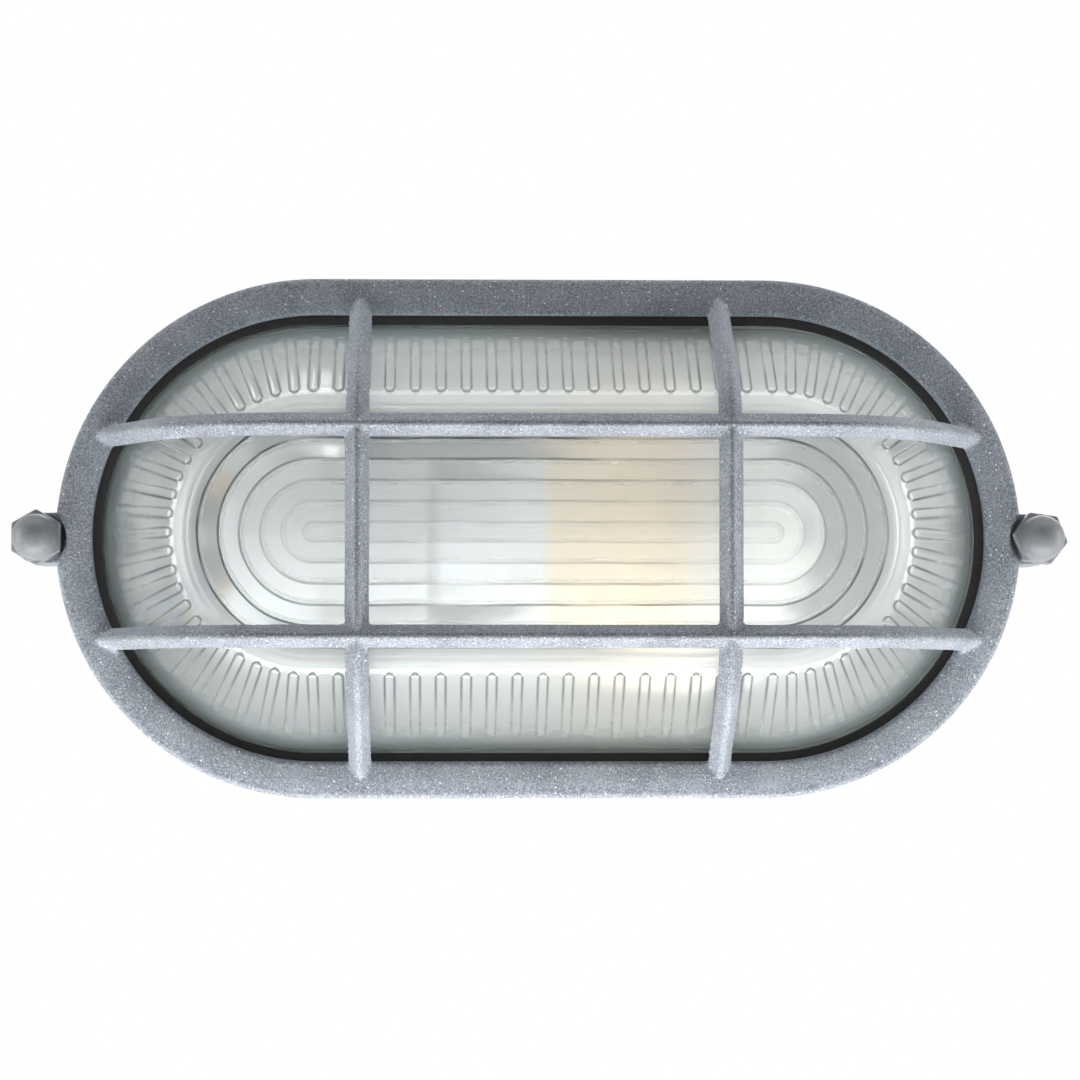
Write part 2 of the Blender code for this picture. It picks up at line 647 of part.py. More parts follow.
def make_stud(name, side):
    low = HOUSING_DEPTH - STUD_EMBEDDED
    top = NUT_SEAT + STUD_IN_NUT
    edge = STUD_CHAMFER
    profile = [(0.0, top), (STUD_R - edge, top), (STUD_R, top - edge),
               (STUD_R, low + edge), (STUD_R - edge, low), (0.0, low)]
    return turned(name, profile, "zinc_steel", steps=HOLE_STEPS, place=(side * EAR_X, 0.0, 0.0))


def make_cap_nut(name, side, turn):
    """A hexagon with rounded corners and a domed cap, bored for the stud from below."""
    shape = bmesh.new()
    place = Matrix.Translation((0.0, 0.0, NUT_HEX_HEIGHT / 2))
    bmesh.ops.create_cone(shape, cap_ends=True, segments=6, radius1=NUT_CORNER_R, radius2=NUT_CORNER_R,
                          depth=NUT_HEX_HEIGHT, matrix=place)
    nut = new_piece(name, mesh_from(name, shape), "cast_paint")
    nut.location = (side * EAR_X, 0.0, NUT_SEAT)
    nut.rotation_euler = (0.0, 0.0, math.radians(turn))
    corner = NUT_CORNER_R - NUT_ACROSS_FLATS / 2
    chamfer = [(0.0, NUT_HEX_HEIGHT + CUT_OVERRUN),
               (NUT_ACROSS_FLATS / 2 - corner, NUT_HEX_HEIGHT + CUT_OVERRUN),
               (NUT_ACROSS_FLATS / 2 - corner, NUT_HEX_HEIGHT),
               (NUT_CORNER_R + corner, NUT_HEX_HEIGHT - corner),
               (NUT_CORNER_R + corner, -CUT_OVERRUN), (0.0, -CUT_OVERRUN)]
    dome_start = NUT_HEIGHT - NUT_DOME_R
    dome = [(0.0, NUT_HEIGHT)] + arc((0.0, dome_start), NUT_DOME_R, 90, 0, 5)[1:]
    dome += [(NUT_DOME_R, NUT_HEX_HEIGHT / 2), (0.0, NUT_HEX_HEIGHT / 2)]
    bore_r = STUD_R + SEAT_GAP
    bore = [(0.0, NUT_HEIGHT - NUT_ROOF), (bore_r, NUT_HEIGHT - NUT_ROOF),
            (bore_r, -CUT_OVERRUN), (0.0, -CUT_OVERRUN)]
    for label, outline, operation in (("chamfer", chamfer, "INTERSECT"), ("dome", dome, "UNION"),
                                      ("bore", bore, "DIFFERENCE")):
        tool = turned(f"{name}_{label}", outline, "cast_paint", steps=PAD_STEPS, place=nut.location)
        LAMP.objects.unlink(tool)
        TOOLS.objects.link(tool)
        tool.display_type = "WIRE"
        tool.hide_render = True
        boolean(nut, tool, operation)
    return nut


# Gasket and glass

def make_gasket():
    outer = GASKET_OUTER_R
    channel = outer - GASKET_LIP
    back = GASKET_BOTTOM
    front = GASKET_TOP
    back_inner = outer - GASKET_BACK_LIP_WIDTH
    front_inner = outer - GASKET_FRONT_LIP_WIDTH
    profile = [(back_inner, back), (outer, back), (outer, front), (front_inner, front),
               (front_inner, front - GASKET_LIP), (channel, front - GASKET_LIP),
               (channel, back + GASKET_LIP), (back_inner, back + GASKET_LIP)]
    shape = stadium_sweep(profile, closed=True, steps=GLASS_END_STEPS)
    gasket = new_piece("gasket", mesh_from("gasket", shape), "black_rubber")
    shade_round(gasket.data)
    return gasket


def lens_ring_points():
    """Saw-tooth steps of the lens rings, from the outermost ring to the middle."""
    points = []
    for i in reversed(range(LENS_RING_COUNT)):
        radius = LENS_RING_INNER_R + i * LENS_RING_PITCH
        points.append((radius + LENS_RING_STEP, GLASS_FRONT - LENS_RING_STEP))
        points.append((radius, GLASS_FRONT))
    return points


def glass_profile():
    base = FLANGE_FRONT
    outer = [(GLASS_FLANGE_R, FLANGE_BACK), (GLASS_FLANGE_R, base), (GLASS_NECK_R, base),
             (GLASS_NECK_R - GLASS_NECK_DRAFT, base + GLASS_NECK_HEIGHT),
             (SHOULDER_BOTTOM_R, base + SHOULDER_BOTTOM_HEIGHT),
             (SHOULDER_TOP_R, base + SHOULDER_TOP_HEIGHT),
             ((SHOULDER_TOP_R + FRONT_EDGE_R) / 2, GLASS_FRONT - FRONT_EDGE_DROP),
             (FRONT_EDGE_R, GLASS_FRONT - LENS_RING_STEP)]
    outer += lens_ring_points() + [(0.0, GLASS_FRONT - LENS_RING_STEP)]
    across = math.atan2(SHOULDER_TOP_HEIGHT - SHOULDER_BOTTOM_HEIGHT, SHOULDER_BOTTOM_R - SHOULDER_TOP_R)
    inset_r = GLASS_WALL * math.sin(across)
    inset_z = GLASS_WALL * math.cos(across)
    back = GLASS_FRONT - GLASS_WALL
    inner = [(0.0, back), (FRONT_EDGE_R - inset_r / 2, back),
             (SHOULDER_TOP_R - inset_r, base + SHOULDER_TOP_HEIGHT - inset_z),
             (SHOULDER_BOTTOM_R - inset_r, base + SHOULDER_BOTTOM_HEIGHT - inset_z),
             (GLASS_NECK_R - GLASS_WALL, base), (GLASS_NECK_R - GLASS_WALL, FLANGE_BACK)]
    return inner + outer


def rib_stations():
    """Foot points and directions of the ribs, seen in plan."""
    stations = []
    count = int(HALF_STRAIGHT / RIB_PITCH + 0.5)
    for side in (-1, 1):
        for i in range(-count + 1, count):
            stations.append(((i * RIB_PITCH, 0.0), (0.0, side)))
    fan = int(math.pi / 2 / RIB_FAN_STEP + 0.5)
    for end in (-1, 1):
        for i in range(-fan, fan + 1):
            angle = i * RIB_FAN_STEP
            stations.append(((end * HALF_STRAIGHT, 0.0), (end * math.cos(angle), math.sin(angle))))
    return stations


def glass_ribs():
    """Pressed ribs that run down the shoulder, each a half-sunk prism with a tapered inner end."""
    rise = SHOULDER_TOP_HEIGHT - SHOULDER_BOTTOM_HEIGHT
    run = SHOULDER_BOTTOM_R - SHOULDER_TOP_R
    slope = math.atan2(rise, run)
    sink = RIB_R - RIB_STAND
    start = FLANGE_FRONT + SHOULDER_TOP_HEIGHT - (RIB_INNER_R - SHOULDER_TOP_R) * rise / run
    length = (RIB_OUTER_R - RIB_INNER_R) / math.cos(slope)
    shape = bmesh.new()
    for foot, heading in rib_stations():
        rib = bmesh.ops.create_cone(shape, cap_ends=True, segments=6, radius1=RIB_R, radius2=RIB_R,
                                    depth=length)["verts"]
        inner_end = [vert for vert in rib if vert.co.z < 0]
        bmesh.ops.scale(shape, verts=inner_end, vec=(RIB_TAPER, RIB_TAPER, 1.0))
        bmesh.ops.translate(shape, verts=rib, vec=(0.0, 0.0, length / 2))
        turn = math.atan2(heading[1], heading[0])
        place = (Matrix.Translation((foot[0], foot[1], start)) @ Matrix.Rotation(turn, 4, "Z")
                 @ Matrix.Translation((RIB_INNER_R, 0.0, 0.0)) @ Matrix.Rotation(math.pi / 2 + slope, 4, "Y")
                 @ Matrix.Translation((sink, 0.0, 0.0)))
        bmesh.ops.transform(shape, matrix=place, verts=rib)
    return new_cutter("glass_ribs", mesh_from("glass_ribs", shape))


def make_glass_cover():
    shape = stadium_sweep(glass_profile(), closed=False, steps=GLASS_END_STEPS)
    glass = new_piece("glass_cover", mesh_from("glass_cover", shape), "clear_glass")
    shade_round(glass.data)
    boolean(glass, glass_ribs(), "UNION")
    return glass


# Lampholder and bulb, turned about the lamp's axis

def axis_place(x):
    return (x, 0.0, LAMP_AXIS_HEIGHT)


def make_lampholder_body():
    """Porcelain cup: the profile's heights run from the rear face to the mouth."""
    length = HOLDER_LENGTH
    step = HOLDER_BASE_LENGTH
    edge = HOLDER_CHAMFER
    floor = length - HOLDER_BORE_DEPTH
    bore = [(0.0, floor), (HOLDER_BORE_R, floor), (HOLDER_BORE_R, length)]
    outside = [(HOLDER_FRONT_R, length), (HOLDER_FRONT_R, step + 2 * edge), (HOLDER_BASE_R, step),
               (HOLDER_BASE_R, edge), (HOLDER_BASE_R - edge, 0.0), (0.0, 0.0)]
    body = turned("lampholder_body", bore + outside, "porcelain", along_x=True,
                  place=axis_place(HOLDER_BACK_X))
    holes = bmesh.new()
    for side in (-1, 1):
        start = (HOLDER_BACK_X - CUT_OVERRUN, 0.0, LAMP_AXIS_HEIGHT + side * HOLDER_SCREW_SPACING / 2)
        add_x_cylinder(holes, start, SCREW_HOLE_R, CUT_OVERRUN + SCREW_LENGTH)
    boolean(body, new_cutter("holder_screw_holes", mesh_from("holder_screw_holes", holes)), "DIFFERENCE")
    return body


def make_lampholder_shell():
    """Threaded sleeve of the lampholder, an open tube with a rim turned in at its foot."""
    foot = SEAT_GAP
    mouth = HOLDER_BORE_DEPTH - SHELL_MOUTH_INSET
    lip = SHELL_INNER_R - SHELL_LIP
    profile = [(SHELL_INNER_R, mouth), (SHELL_OUTER_R, mouth), (SHELL_OUTER_R, foot), (lip, foot),
               (lip, foot + SHELL_THICKNESS), (SHELL_INNER_R, foot + SHELL_THICKNESS)]
    return turned("lampholder_shell", profile, "nickel", closed=True, along_x=True,
                  place=axis_place(HOLDER_BORE_X))


def strip_piece(name, path, width, thickness, material):
    """Bent strip: an open path in the XZ plane, drawn across Y and given its thickness."""
    shape = bmesh.new()
    row = [shape.verts.new((x, -width / 2, z)) for x, z in path]
    edges = [shape.edges.new(pair) for pair in zip(row, row[1:])]
    drawn = bmesh.ops.extrude_edge_only(shape, edges=edges)["geom"]
    moved = [item for item in drawn if isinstance(item, bmesh.types.BMVert)]
    bmesh.ops.translate(shape, verts=moved, vec=(0.0, width, 0.0))
    mesh = bpy.data.meshes.new(name)
    shape.to_mesh(mesh)
    shape.free()
    piece = new_piece(name, mesh, material)
    wall = piece.modifiers.new("sheet", "SOLIDIFY")
    wall.thickness = thickness
    wall.offset = 0.0
    wall.use_even_offset = True
    return piece


def make_centre_contact():
    """Spring tongue on the floor of the lampholder, bent out to the tip of the bulb."""
    half = SHELL_THICKNESS / 2
    floor_x = HOLDER_BORE_X + SEAT_GAP + half
    tip_x = HOLDER_BORE_X + SEAT_GAP + CONTACT_STAND - half
    axis = LAMP_AXIS_HEIGHT
    path = [(floor_x, axis - CONTACT_REACH), (floor_x, axis + CONTACT_FOLD_Y),
            (floor_x + CONTACT_FOLD_STAND, axis + CONTACT_REACH), (tip_x, axis + CONTACT_PAD),
            (tip_x, axis - CONTACT_PAD)]
    return strip_piece("centre_contact", path, CONTACT_WIDTH, SHELL_THICKNESS, "brass")


def bulb_profile():
    """From the crown of the bulb down to the tip of its cap, heights from the tip."""
    crown_centre = BULB_LENGTH - BULB_R
    points = [(0.0, BULB_LENGTH)] + arc((0.0, crown_centre), BULB_R, 90, 0, BULB_CROWN_STEPS)[1:]
    neck = BULB_CAP_LENGTH
    for i in range(1, BULB_FLANK_STEPS):
        share = 1 - i / BULB_FLANK_STEPS
        swell = share * share * (3 - 2 * share)
        points.append((BULB_NECK_R + (BULB_R - BULB_NECK_R) * swell, neck + (crown_centre - neck) * share))
    points += [(BULB_NECK_R, neck), (BULB_CAP_R, neck - BULB_CAP_STEP), (BULB_CAP_R, BULB_CONE_HEIGHT),
               (BULB_FOOT_R, BULB_FOOT_HEIGHT), (BULB_TIP_R, BULB_TIP_HEIGHT), (BULB_TIP_R, 0.0),
               (0.0, 0.0)]
    return points


def make_bulb():
    return turned("bulb", bulb_profile(), "opal_bulb", along_x=True, place=axis_place(BULB_TIP_X))


def make_lampholder_bracket():
    """Angle bracket: its foot lies on the housing's pad, its upright carries the porcelain."""
    half = BRACKET_THICKNESS / 2
    wall_x = BRACKET_BACK_X + half
    foot_z = BRACKET_SEAT + half
    top = LAMP_AXIS_HEIGHT + HOLDER_BASE_R - BRACKET_TOP_MARGIN
    bend = arc((wall_x + BRACKET_BEND_R, foot_z + BRACKET_BEND_R), BRACKET_BEND_R, 270, 180, 3)
    path = [(BRACKET_BACK_X + BRACKET_FOOT, foot_z)] + bend + [(wall_x, top)]
    bracket = strip_piece("lampholder_bracket", path, BRACKET_WIDTH, BRACKET_THICKNESS, "zinc_steel")
    holes = bmesh.new()
    for place in bracket_screw_places():
        add_cylinder(holes, place, SCREW_HOLE_R, BRACKET_SEAT - CUT_OVERRUN,
                     BRACKET_SEAT + BRACKET_THICKNESS + CUT_OVERRUN)
    for side in (-1, 1):
        start = (BRACKET_BACK_X - CUT_OVERRUN, 0.0, LAMP_AXIS_HEIGHT + side * HOLDER_SCREW_SPACING / 2)
        add_x_cylinder(holes, start, SCREW_HOLE_R, BRACKET_THICKNESS + 2 * CUT_OVERRUN)
    boolean(bracket, new_cutter("bracket_holes", mesh_from("bracket_holes", holes)), "DIFFERENCE")
    return bracket


# Reflector

def make_reflector():
    """White sheet-metal tray, cut off straight beside the lampholder."""
    rise = (REFLECTOR_RIM_HEIGHT - HOUSING_FLOOR) / (HOUSING_DEPTH - HOUSING_FLOOR)
    wall_r = HOUSING_BACK_R + (HOUSING_FRONT_R - HOUSING_BACK_R) * rise - HOUSING_WALL
    rim_r = wall_r - REFLECTOR_SIDE_GAP
    floor = REFLECTOR_HEIGHT + REFLECTOR_SHEET / 2
    profile = [(0.0, floor), (REFLECTOR_FLOOR_R - REFLECTOR_BEND, floor),
               (REFLECTOR_FLOOR_R, floor + REFLECTOR_BEND_RISE),
               (rim_r - REFLECTOR_SHEET, REFLECTOR_RIM_HEIGHT)]
    shape = stadium_sweep(profile, closed=False, steps=GLASS_END_STEPS)
    reflector = new_piece("reflector", mesh_from("reflector", shape), "white_enamel")
    sheet = reflector.modifiers.new("sheet", "SOLIDIFY")
    sheet.thickness = REFLECTOR_SHEET
    sheet.offset = 0.0
    sheet.use_even_offset = True
    cut = bmesh.new()
    reach = HALF_STRAIGHT + RING_OUTER_R
    add_box(cut, (-reach, -RING_OUTER_R, 0.0), (REFLECTOR_CUT_X, RING_OUTER_R, HOUSING_DEPTH))
    boolean(reflector, new_cutter("reflector_cut", mesh_from("reflector_cut", cut)), "DIFFERENCE")
    holes = bmesh.new()
    for place in reflector_screw_places():
        add_cylinder(holes, place, SCREW_HOLE_R, REFLECTOR_HEIGHT - CUT_OVERRUN,
                     REFLECTOR_HEIGHT + REFLECTOR_SHEET + CUT_OVERRUN)
    boolean(reflector, new_cutter("reflector_holes", mesh_from("reflector_holes", holes)), "DIFFERENCE")
    return reflector


# Screws

def make_screw(name, place, facing="Z", length=SCREW_LENGTH):
    """Slotted pan-head screw: its origin is under the head, its shank points into the work."""
    head = SCREW_HEAD_HEIGHT
    profile = [(0.0, head), (SCREW_CROWN_R, head), (SCREW_HEAD_R, SCREW_BRIM), (SCREW_HEAD_R, 0.0),
               (SCREW_R, 0.0), (SCREW_R, -length), (0.0, -length)]
    screw = turned(name, profile, "zinc_steel", steps=HOLE_STEPS, place=place)
    slot = bmesh.new()
    reach = SCREW_HEAD_R + CUT_OVERRUN
    add_box(slot, (-reach, -SCREW_SLOT / 2, head - SCREW_SLOT_DEPTH),
            (reach, SCREW_SLOT / 2, head + CUT_OVERRUN))
    tool = new_cutter(name + "_slot", mesh_from(name + "_slot", slot))
    tool.location = place
    if facing == "-X":
        screw.rotation_euler = (0.0, -math.pi / 2, 0.0)
        tool.rotation_euler = (0.0, -math.pi / 2, 0.0)
    boolean(screw, tool, "DIFFERENCE")
    return screw


def make_screws():
    foot_top = BRACKET_SEAT + BRACKET_THICKNESS + SEAT_GAP
    tray_top = REFLECTOR_HEIGHT + REFLECTOR_SHEET + SEAT_GAP
    behind = BRACKET_BACK_X - SEAT_GAP
    half = HOLDER_SCREW_SPACING / 2
    for label, (x, y) in zip(("rear", "front"), bracket_screw_places()):
        make_screw(f"bracket_screw_{label}", (x, y, foot_top), length=PAD_HEIGHT + BRACKET_THICKNESS)
    for label, (x, y) in zip(("left", "right"), reflector_screw_places()):
        make_screw(f"reflector_screw_{label}", (x, y, tray_top))
    lug_top = BLOCK_SEAT + BLOCK_LUG_HEIGHT + SEAT_GAP
    for label, (x, y) in zip(("lower", "upper"), block_screw_places()):
        make_screw(f"block_screw_{label}", (x, y, lug_top), length=PAD_HEIGHT + BLOCK_LUG_HEIGHT)
    for label, side in (("lower", -1), ("upper", 1)):
        make_screw(f"holder_screw_{label}", (behind, 0.0, LAMP_AXIS_HEIGHT + side * half), facing="-X")
    make_screw("earth_screw", (EARTH_X, EARTH_Y, PAD_TOP + 2 * SEAT_GAP + EARTH_LUG_THICKNESS),
               length=PAD_HEIGHT)


# Terminal block, earth lug, cable entry

def pole_offsets():
    return [(i - (POLE_COUNT - 1) / 2) * POLE_PITCH for i in range(POLE_COUNT)]


def make_terminal_block():
    """Three-pole block: a wire bore and a screw well for each pole, and a fixing lug at both ends."""
    shape = bmesh.new()
    top = BLOCK_SEAT + BLOCK_HEIGHT
    lug_top = BLOCK_SEAT + BLOCK_LUG_HEIGHT
    left = BLOCK_X - BLOCK_WIDTH / 2
    right = BLOCK_X + BLOCK_WIDTH / 2
    add_box(shape, (left, -BLOCK_LUG_LENGTH / 2, BLOCK_SEAT), (right, BLOCK_LUG_LENGTH / 2, lug_top))
    block = new_piece("terminal_block", mesh_from("terminal_block", shape), "porcelain")
    middle = bmesh.new()
    add_box(middle, (left, -BLOCK_LENGTH / 2, BLOCK_SEAT), (right, BLOCK_LENGTH / 2, top))
    boolean(block, new_cutter("block_middle", mesh_from("block_middle", middle)), "UNION")
    wells = bmesh.new()
    bores = bmesh.new()
    for y in pole_offsets():
        add_cylinder(wells, (BLOCK_X, y), POLE_SCREW_R + 2 * SEAT_GAP, top - POLE_WELL_DEPTH,
                     top + CUT_OVERRUN)
        add_x_cylinder(bores, (left - CUT_OVERRUN, y, POLE_BORE_HEIGHT), POLE_BORE_R,
                       BLOCK_WIDTH + 2 * CUT_OVERRUN)
    for place in block_screw_places():
        add_cylinder(wells, place, SCREW_HOLE_R, BLOCK_SEAT - CUT_OVERRUN, lug_top + CUT_OVERRUN)
    boolean(block, new_cutter("pole_wells", mesh_from("pole_wells", wells)), "DIFFERENCE")
    boolean(block, new_cutter("pole_bores", mesh_from("pole_bores", bores)), "DIFFERENCE")
    return block


def make_pole_screws():
    top = BLOCK_SEAT + BLOCK_HEIGHT - POLE_WELL_DEPTH
    names = ("neutral", "earth", "live")
    for label, y in zip(names, pole_offsets()):
        profile = [(0.0, POLE_SCREW_HEIGHT), (POLE_SCREW_R, POLE_SCREW_HEIGHT), (POLE_SCREW_R, 0.0),
                   (0.0, 0.0)]
        turned(f"{label}_pole_screw", profile, "brass", steps=HOLE_STEPS,
               place=(BLOCK_X, y, top + SEAT_GAP))


def make_earth_lug():
    """Crimped ring terminal: a flat ring under the screw and a barrel that takes the wire."""
    base = PAD_TOP + SEAT_GAP
    hole = SCREW_R + SEAT_GAP
    profile = [(hole, EARTH_LUG_THICKNESS), (EARTH_LUG_R, EARTH_LUG_THICKNESS), (EARTH_LUG_R, 0.0),
               (hole, 0.0)]
    lug = turned("earth_lug", profile, "brass", closed=True, steps=HOLE_STEPS,
                 place=(EARTH_X, EARTH_Y, base))
    start = earth_barrel_start()
    crimp_depth = EARTH_BARREL_LENGTH - EARTH_BARREL_OVERLAP
    barrel = bmesh.new()
    add_x_cylinder(barrel, start, EARTH_BARREL_R, EARTH_BARREL_LENGTH)
    boolean(lug, new_cutter("earth_barrel", mesh_from("earth_barrel", barrel)), "UNION")
    crimp = bmesh.new()
    add_x_cylinder(crimp, start - Vector((CUT_OVERRUN, 0.0, 0.0)), WIRE_R + SEAT_GAP,
                   crimp_depth + CUT_OVERRUN)
    boolean(lug, new_cutter("earth_crimp", mesh_from("earth_crimp", crimp)), "DIFFERENCE")
    return lug


def earth_barrel_start():
    """Open end of the lug's barrel, on the wire's axis."""
    x = EARTH_X - EARTH_LUG_R - EARTH_BARREL_LENGTH + EARTH_BARREL_OVERLAP
    return Vector((x, EARTH_Y, PAD_TOP + SEAT_GAP + EARTH_BARREL_R))


def make_cable_grommet():
    """Rubber bush in the cable hole: a flange on both sides of the floor and a neck between."""
    neck_low = ENTRY_RECESS_DEPTH - SEAT_GAP
    neck_top = HOUSING_FLOOR + ENTRY_BOSS_HEIGHT + SEAT_GAP
    neck_r = ENTRY_HOLE_R - SEAT_GAP
    profile = [(GROMMET_BORE_R, neck_top + GROMMET_FLANGE), (GROMMET_FLANGE_R, neck_top + GROMMET_FLANGE),
               (GROMMET_FLANGE_R, neck_top), (neck_r, neck_top), (neck_r, neck_low),
               (GROMMET_FLANGE_R, neck_low), (GROMMET_FLANGE_R, neck_low - GROMMET_FLANGE),
               (GROMMET_BORE_R, neck_low - GROMMET_FLANGE)]
    return turned("cable_grommet", profile, "black_rubber", closed=True, steps=PAD_STEPS,
                  place=(ENTRY_X, ENTRY_Y, 0.0))


# Wires

def make_wire_terminals():
    depth, width, height = WIRE_TERMINAL_SIZE
    for label, side in (("live", 1), ("neutral", -1)):
        shape = bmesh.new()
        y = side * WIRE_TERMINAL_Y
        front = HOLDER_BACK_X - SEAT_GAP
        add_box(shape, (front - depth, y - width / 2, LAMP_AXIS_HEIGHT - height / 2),
                (front, y + width / 2, LAMP_AXIS_HEIGHT + height / 2))
        block = new_piece(f"{label}_terminal", mesh_from(f"{label}_terminal", shape), "brass")
        edge = block.modifiers.new("edges", "BEVEL")
        edge.width = WIRE_TERMINAL_EDGE
        edge.segments = 1


def smooth_route(points, count):
    """Points of a smooth curve through the route, spaced evenly in its parameter."""
    padded = [2 * points[0] - points[1]] + points + [2 * points[-1] - points[-2]]
    route = []
    spans = len(points) - 1
    for i in range(count):
        position = spans * i / (count - 1)
        k = min(int(position), spans - 1)
        t = position - k
        a, b, c, d = padded[k:k + 4]
        route.append(0.5 * (2 * b + (c - a) * t + (2 * a - 5 * b + 4 * c - d) * t * t
                            + (3 * b - a - 3 * c + d) * t * t * t))
    return route


def make_wire(name, points, material):
    route = smooth_route([Vector(point) for point in points], WIRE_POINTS)
    curve = bpy.data.curves.new(name, "CURVE")
    curve.dimensions = "3D"
    curve.bevel_depth = WIRE_R
    curve.bevel_resolution = 2
    curve.use_fill_caps = True
    spline = curve.splines.new("POLY")
    spline.points.add(len(route) - 1)
    for point, place in zip(spline.points, route):
        point.co = (*place, 1.0)
    mesh = curve_to_mesh(curve, name)
    shade_round(mesh)
    return new_piece(name, mesh, material)


def holder_end_of_wire(y, lead):
    """First points of a wire: out of its terminal behind the holder, and a turn down."""
    rear = HOLDER_BACK_X - SEAT_GAP - WIRE_TERMINAL_SIZE[0] - SEAT_GAP
    axis = LAMP_AXIS_HEIGHT
    return [(rear, y, axis), (rear - lead, y, axis), (rear - lead - WIRE_TURN, y, axis - WIRE_FALL)]


def block_end_of_wire(pole_y, splay):
    """Last points of a wire: down in front of the block, round a bend and into its bore."""
    face = BLOCK_X + BLOCK_WIDTH / 2
    low = POLE_BORE_HEIGHT
    return [(face + WIRE_BEND, pole_y + splay, low + WIRE_DROP),
            (face + WIRE_BEND, pole_y + splay / 4, low + WIRE_BEND_RISE),
            (face + WIRE_STRAIGHT, pole_y, low), (face - WIRE_IN_BLOCK, pole_y, low)]


def make_wires():
    """Live and neutral hang from the holder to the block; earth runs along the floor to its lug."""
    neutral, earth, live = pole_offsets()
    make_wire("live_wire", holder_end_of_wire(WIRE_TERMINAL_Y, LIVE_LEAD)
              + block_end_of_wire(live, WIRE_SPLAY), "brown_wire")
    make_wire("neutral_wire", holder_end_of_wire(-WIRE_TERMINAL_Y, NEUTRAL_LEAD)
              + block_end_of_wire(neutral, -WIRE_SPLAY), "blue_wire")
    barrel = earth_barrel_start()
    along = Vector((1.0, 0.0, 0.0))
    route = list(reversed(block_end_of_wire(earth, 0.0)[2:])) + list(EARTH_WIRE_BENDS)
    route += [barrel - along * EARTH_WIRE_LEAD, barrel - along * EARTH_WIRE_LEAD / 4,
              barrel + along * EARTH_BARREL_LENGTH / 2]
    make_wire("earth_wire", route, "earth_wire")


def build_lamp():
    make_housing()
    make_guard_frame()
    make_gasket()
    make_glass_cover()
    for name, side, turn in (("left", -1, NUT_TURN_LEFT), ("right", 1, NUT_TURN_RIGHT)):
        make_stud(f"stud_{name}", side)
        make_cap_nut(f"cap_nut_{name}", side, turn)
    make_reflector()
    make_lampholder_body()
    make_lampholder_shell()
    make_centre_contact()
    make_lampholder_bracket()
    make_bulb()
    make_screws()
    make_terminal_block()
    make_pole_screws()
    make_earth_lug()
    make_cable_grommet()
    make_wire_terminals()
    make_wires()
    WALL_FRAME.rotation_euler = (math.pi / 2, 0.0, 0.0)


clear_scene()
LAMP = new_collection("bulkhead_lamp")
TOOLS = new_collection("tools")
MATERIALS = make_materials()
WALL_FRAME = bpy.data.objects.new("wall_frame", None)
LAMP.objects.link(WALL_FRAME)
build_lamp()
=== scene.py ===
# %% [markdown]
# This lesson dresses an oval bulkhead lamp: a cast body, a ribbed pressed glass and a
# cast guard held by two domed nuts. The solids of the construction come in first, in
# metres, with the wall at y = 0, the glass towards -Y and the top towards +Z. They are
# the frame that everything else is fitted to.

# %% Load the fixed frame
import bpy
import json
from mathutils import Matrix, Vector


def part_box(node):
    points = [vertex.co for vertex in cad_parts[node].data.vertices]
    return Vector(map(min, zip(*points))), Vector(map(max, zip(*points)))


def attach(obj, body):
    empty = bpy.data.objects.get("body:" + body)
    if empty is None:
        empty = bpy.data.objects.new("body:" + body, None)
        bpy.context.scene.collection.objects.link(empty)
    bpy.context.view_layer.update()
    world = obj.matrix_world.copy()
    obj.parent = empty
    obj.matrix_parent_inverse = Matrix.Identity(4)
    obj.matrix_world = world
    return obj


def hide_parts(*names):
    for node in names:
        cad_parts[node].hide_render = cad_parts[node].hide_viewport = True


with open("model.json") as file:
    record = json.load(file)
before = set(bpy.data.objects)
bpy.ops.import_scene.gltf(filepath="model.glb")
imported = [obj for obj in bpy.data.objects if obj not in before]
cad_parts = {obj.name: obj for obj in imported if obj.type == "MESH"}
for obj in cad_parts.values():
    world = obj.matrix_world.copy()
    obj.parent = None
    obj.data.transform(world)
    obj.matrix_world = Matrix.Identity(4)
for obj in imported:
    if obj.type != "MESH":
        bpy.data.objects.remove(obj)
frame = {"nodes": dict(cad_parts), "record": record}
bpy.context.view_layer.update()

# %% [markdown]
# The lamp is an oval made of two half circles and two straights. Its driving sizes are
# read back from the solids, so that the new pieces follow them. A depth is measured
# out of the wall, so a point at depth d lies at y = -d.

# %% Driving sizes from the frame
import json
import math

import bmesh
import numpy as np
from mathutils import Vector

MM = 0.001
guard_low, guard_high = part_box("guard_frame")
glass_low, glass_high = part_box("glass_cover")
gasket_low, gasket_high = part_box("gasket")
HALF_STRAIGHT = glass_high.x - glass_high.z
RING_R = guard_high.z
RING_BACK = -guard_high.y
GUARD_TOP = -guard_low.y
print("half straight", round(HALF_STRAIGHT, 5), "ring radius", round(RING_R, 5))

# %% [markdown]
# Every new piece starts the same way: nothing is selected, then a primitive is added at
# its size and place. These small helpers keep the later cells short. An operator acts on
# all that is selected, so each helper first selects just what it works on.

# %% Helpers for selecting and for finishing a piece
WELD_DISTANCE = 0.001 * MM
SAME_PLACE = 0.01 * MM


def deselect_everything():
    for item in bpy.context.selected_objects:
        item.select_set(False)


def edit():
    bpy.ops.object.mode_set(mode="EDIT")


def leave_edit():
    bpy.ops.object.mode_set(mode="OBJECT")


def activate(piece):
    deselect_everything()
    piece.select_set(True)
    bpy.context.view_layer.objects.active = piece


def apply_transform():
    bpy.ops.object.transform_apply(location=True, rotation=True, scale=True)


def select_all(mode):
    """In edit mode: select everything, as vertices or as edges."""
    bpy.ops.mesh.select_mode(type=mode)
    bpy.ops.mesh.select_all(action="SELECT")


def extrude_by(vector):
    bpy.ops.mesh.extrude_region_move(TRANSFORM_OT_translate={"value": vector})


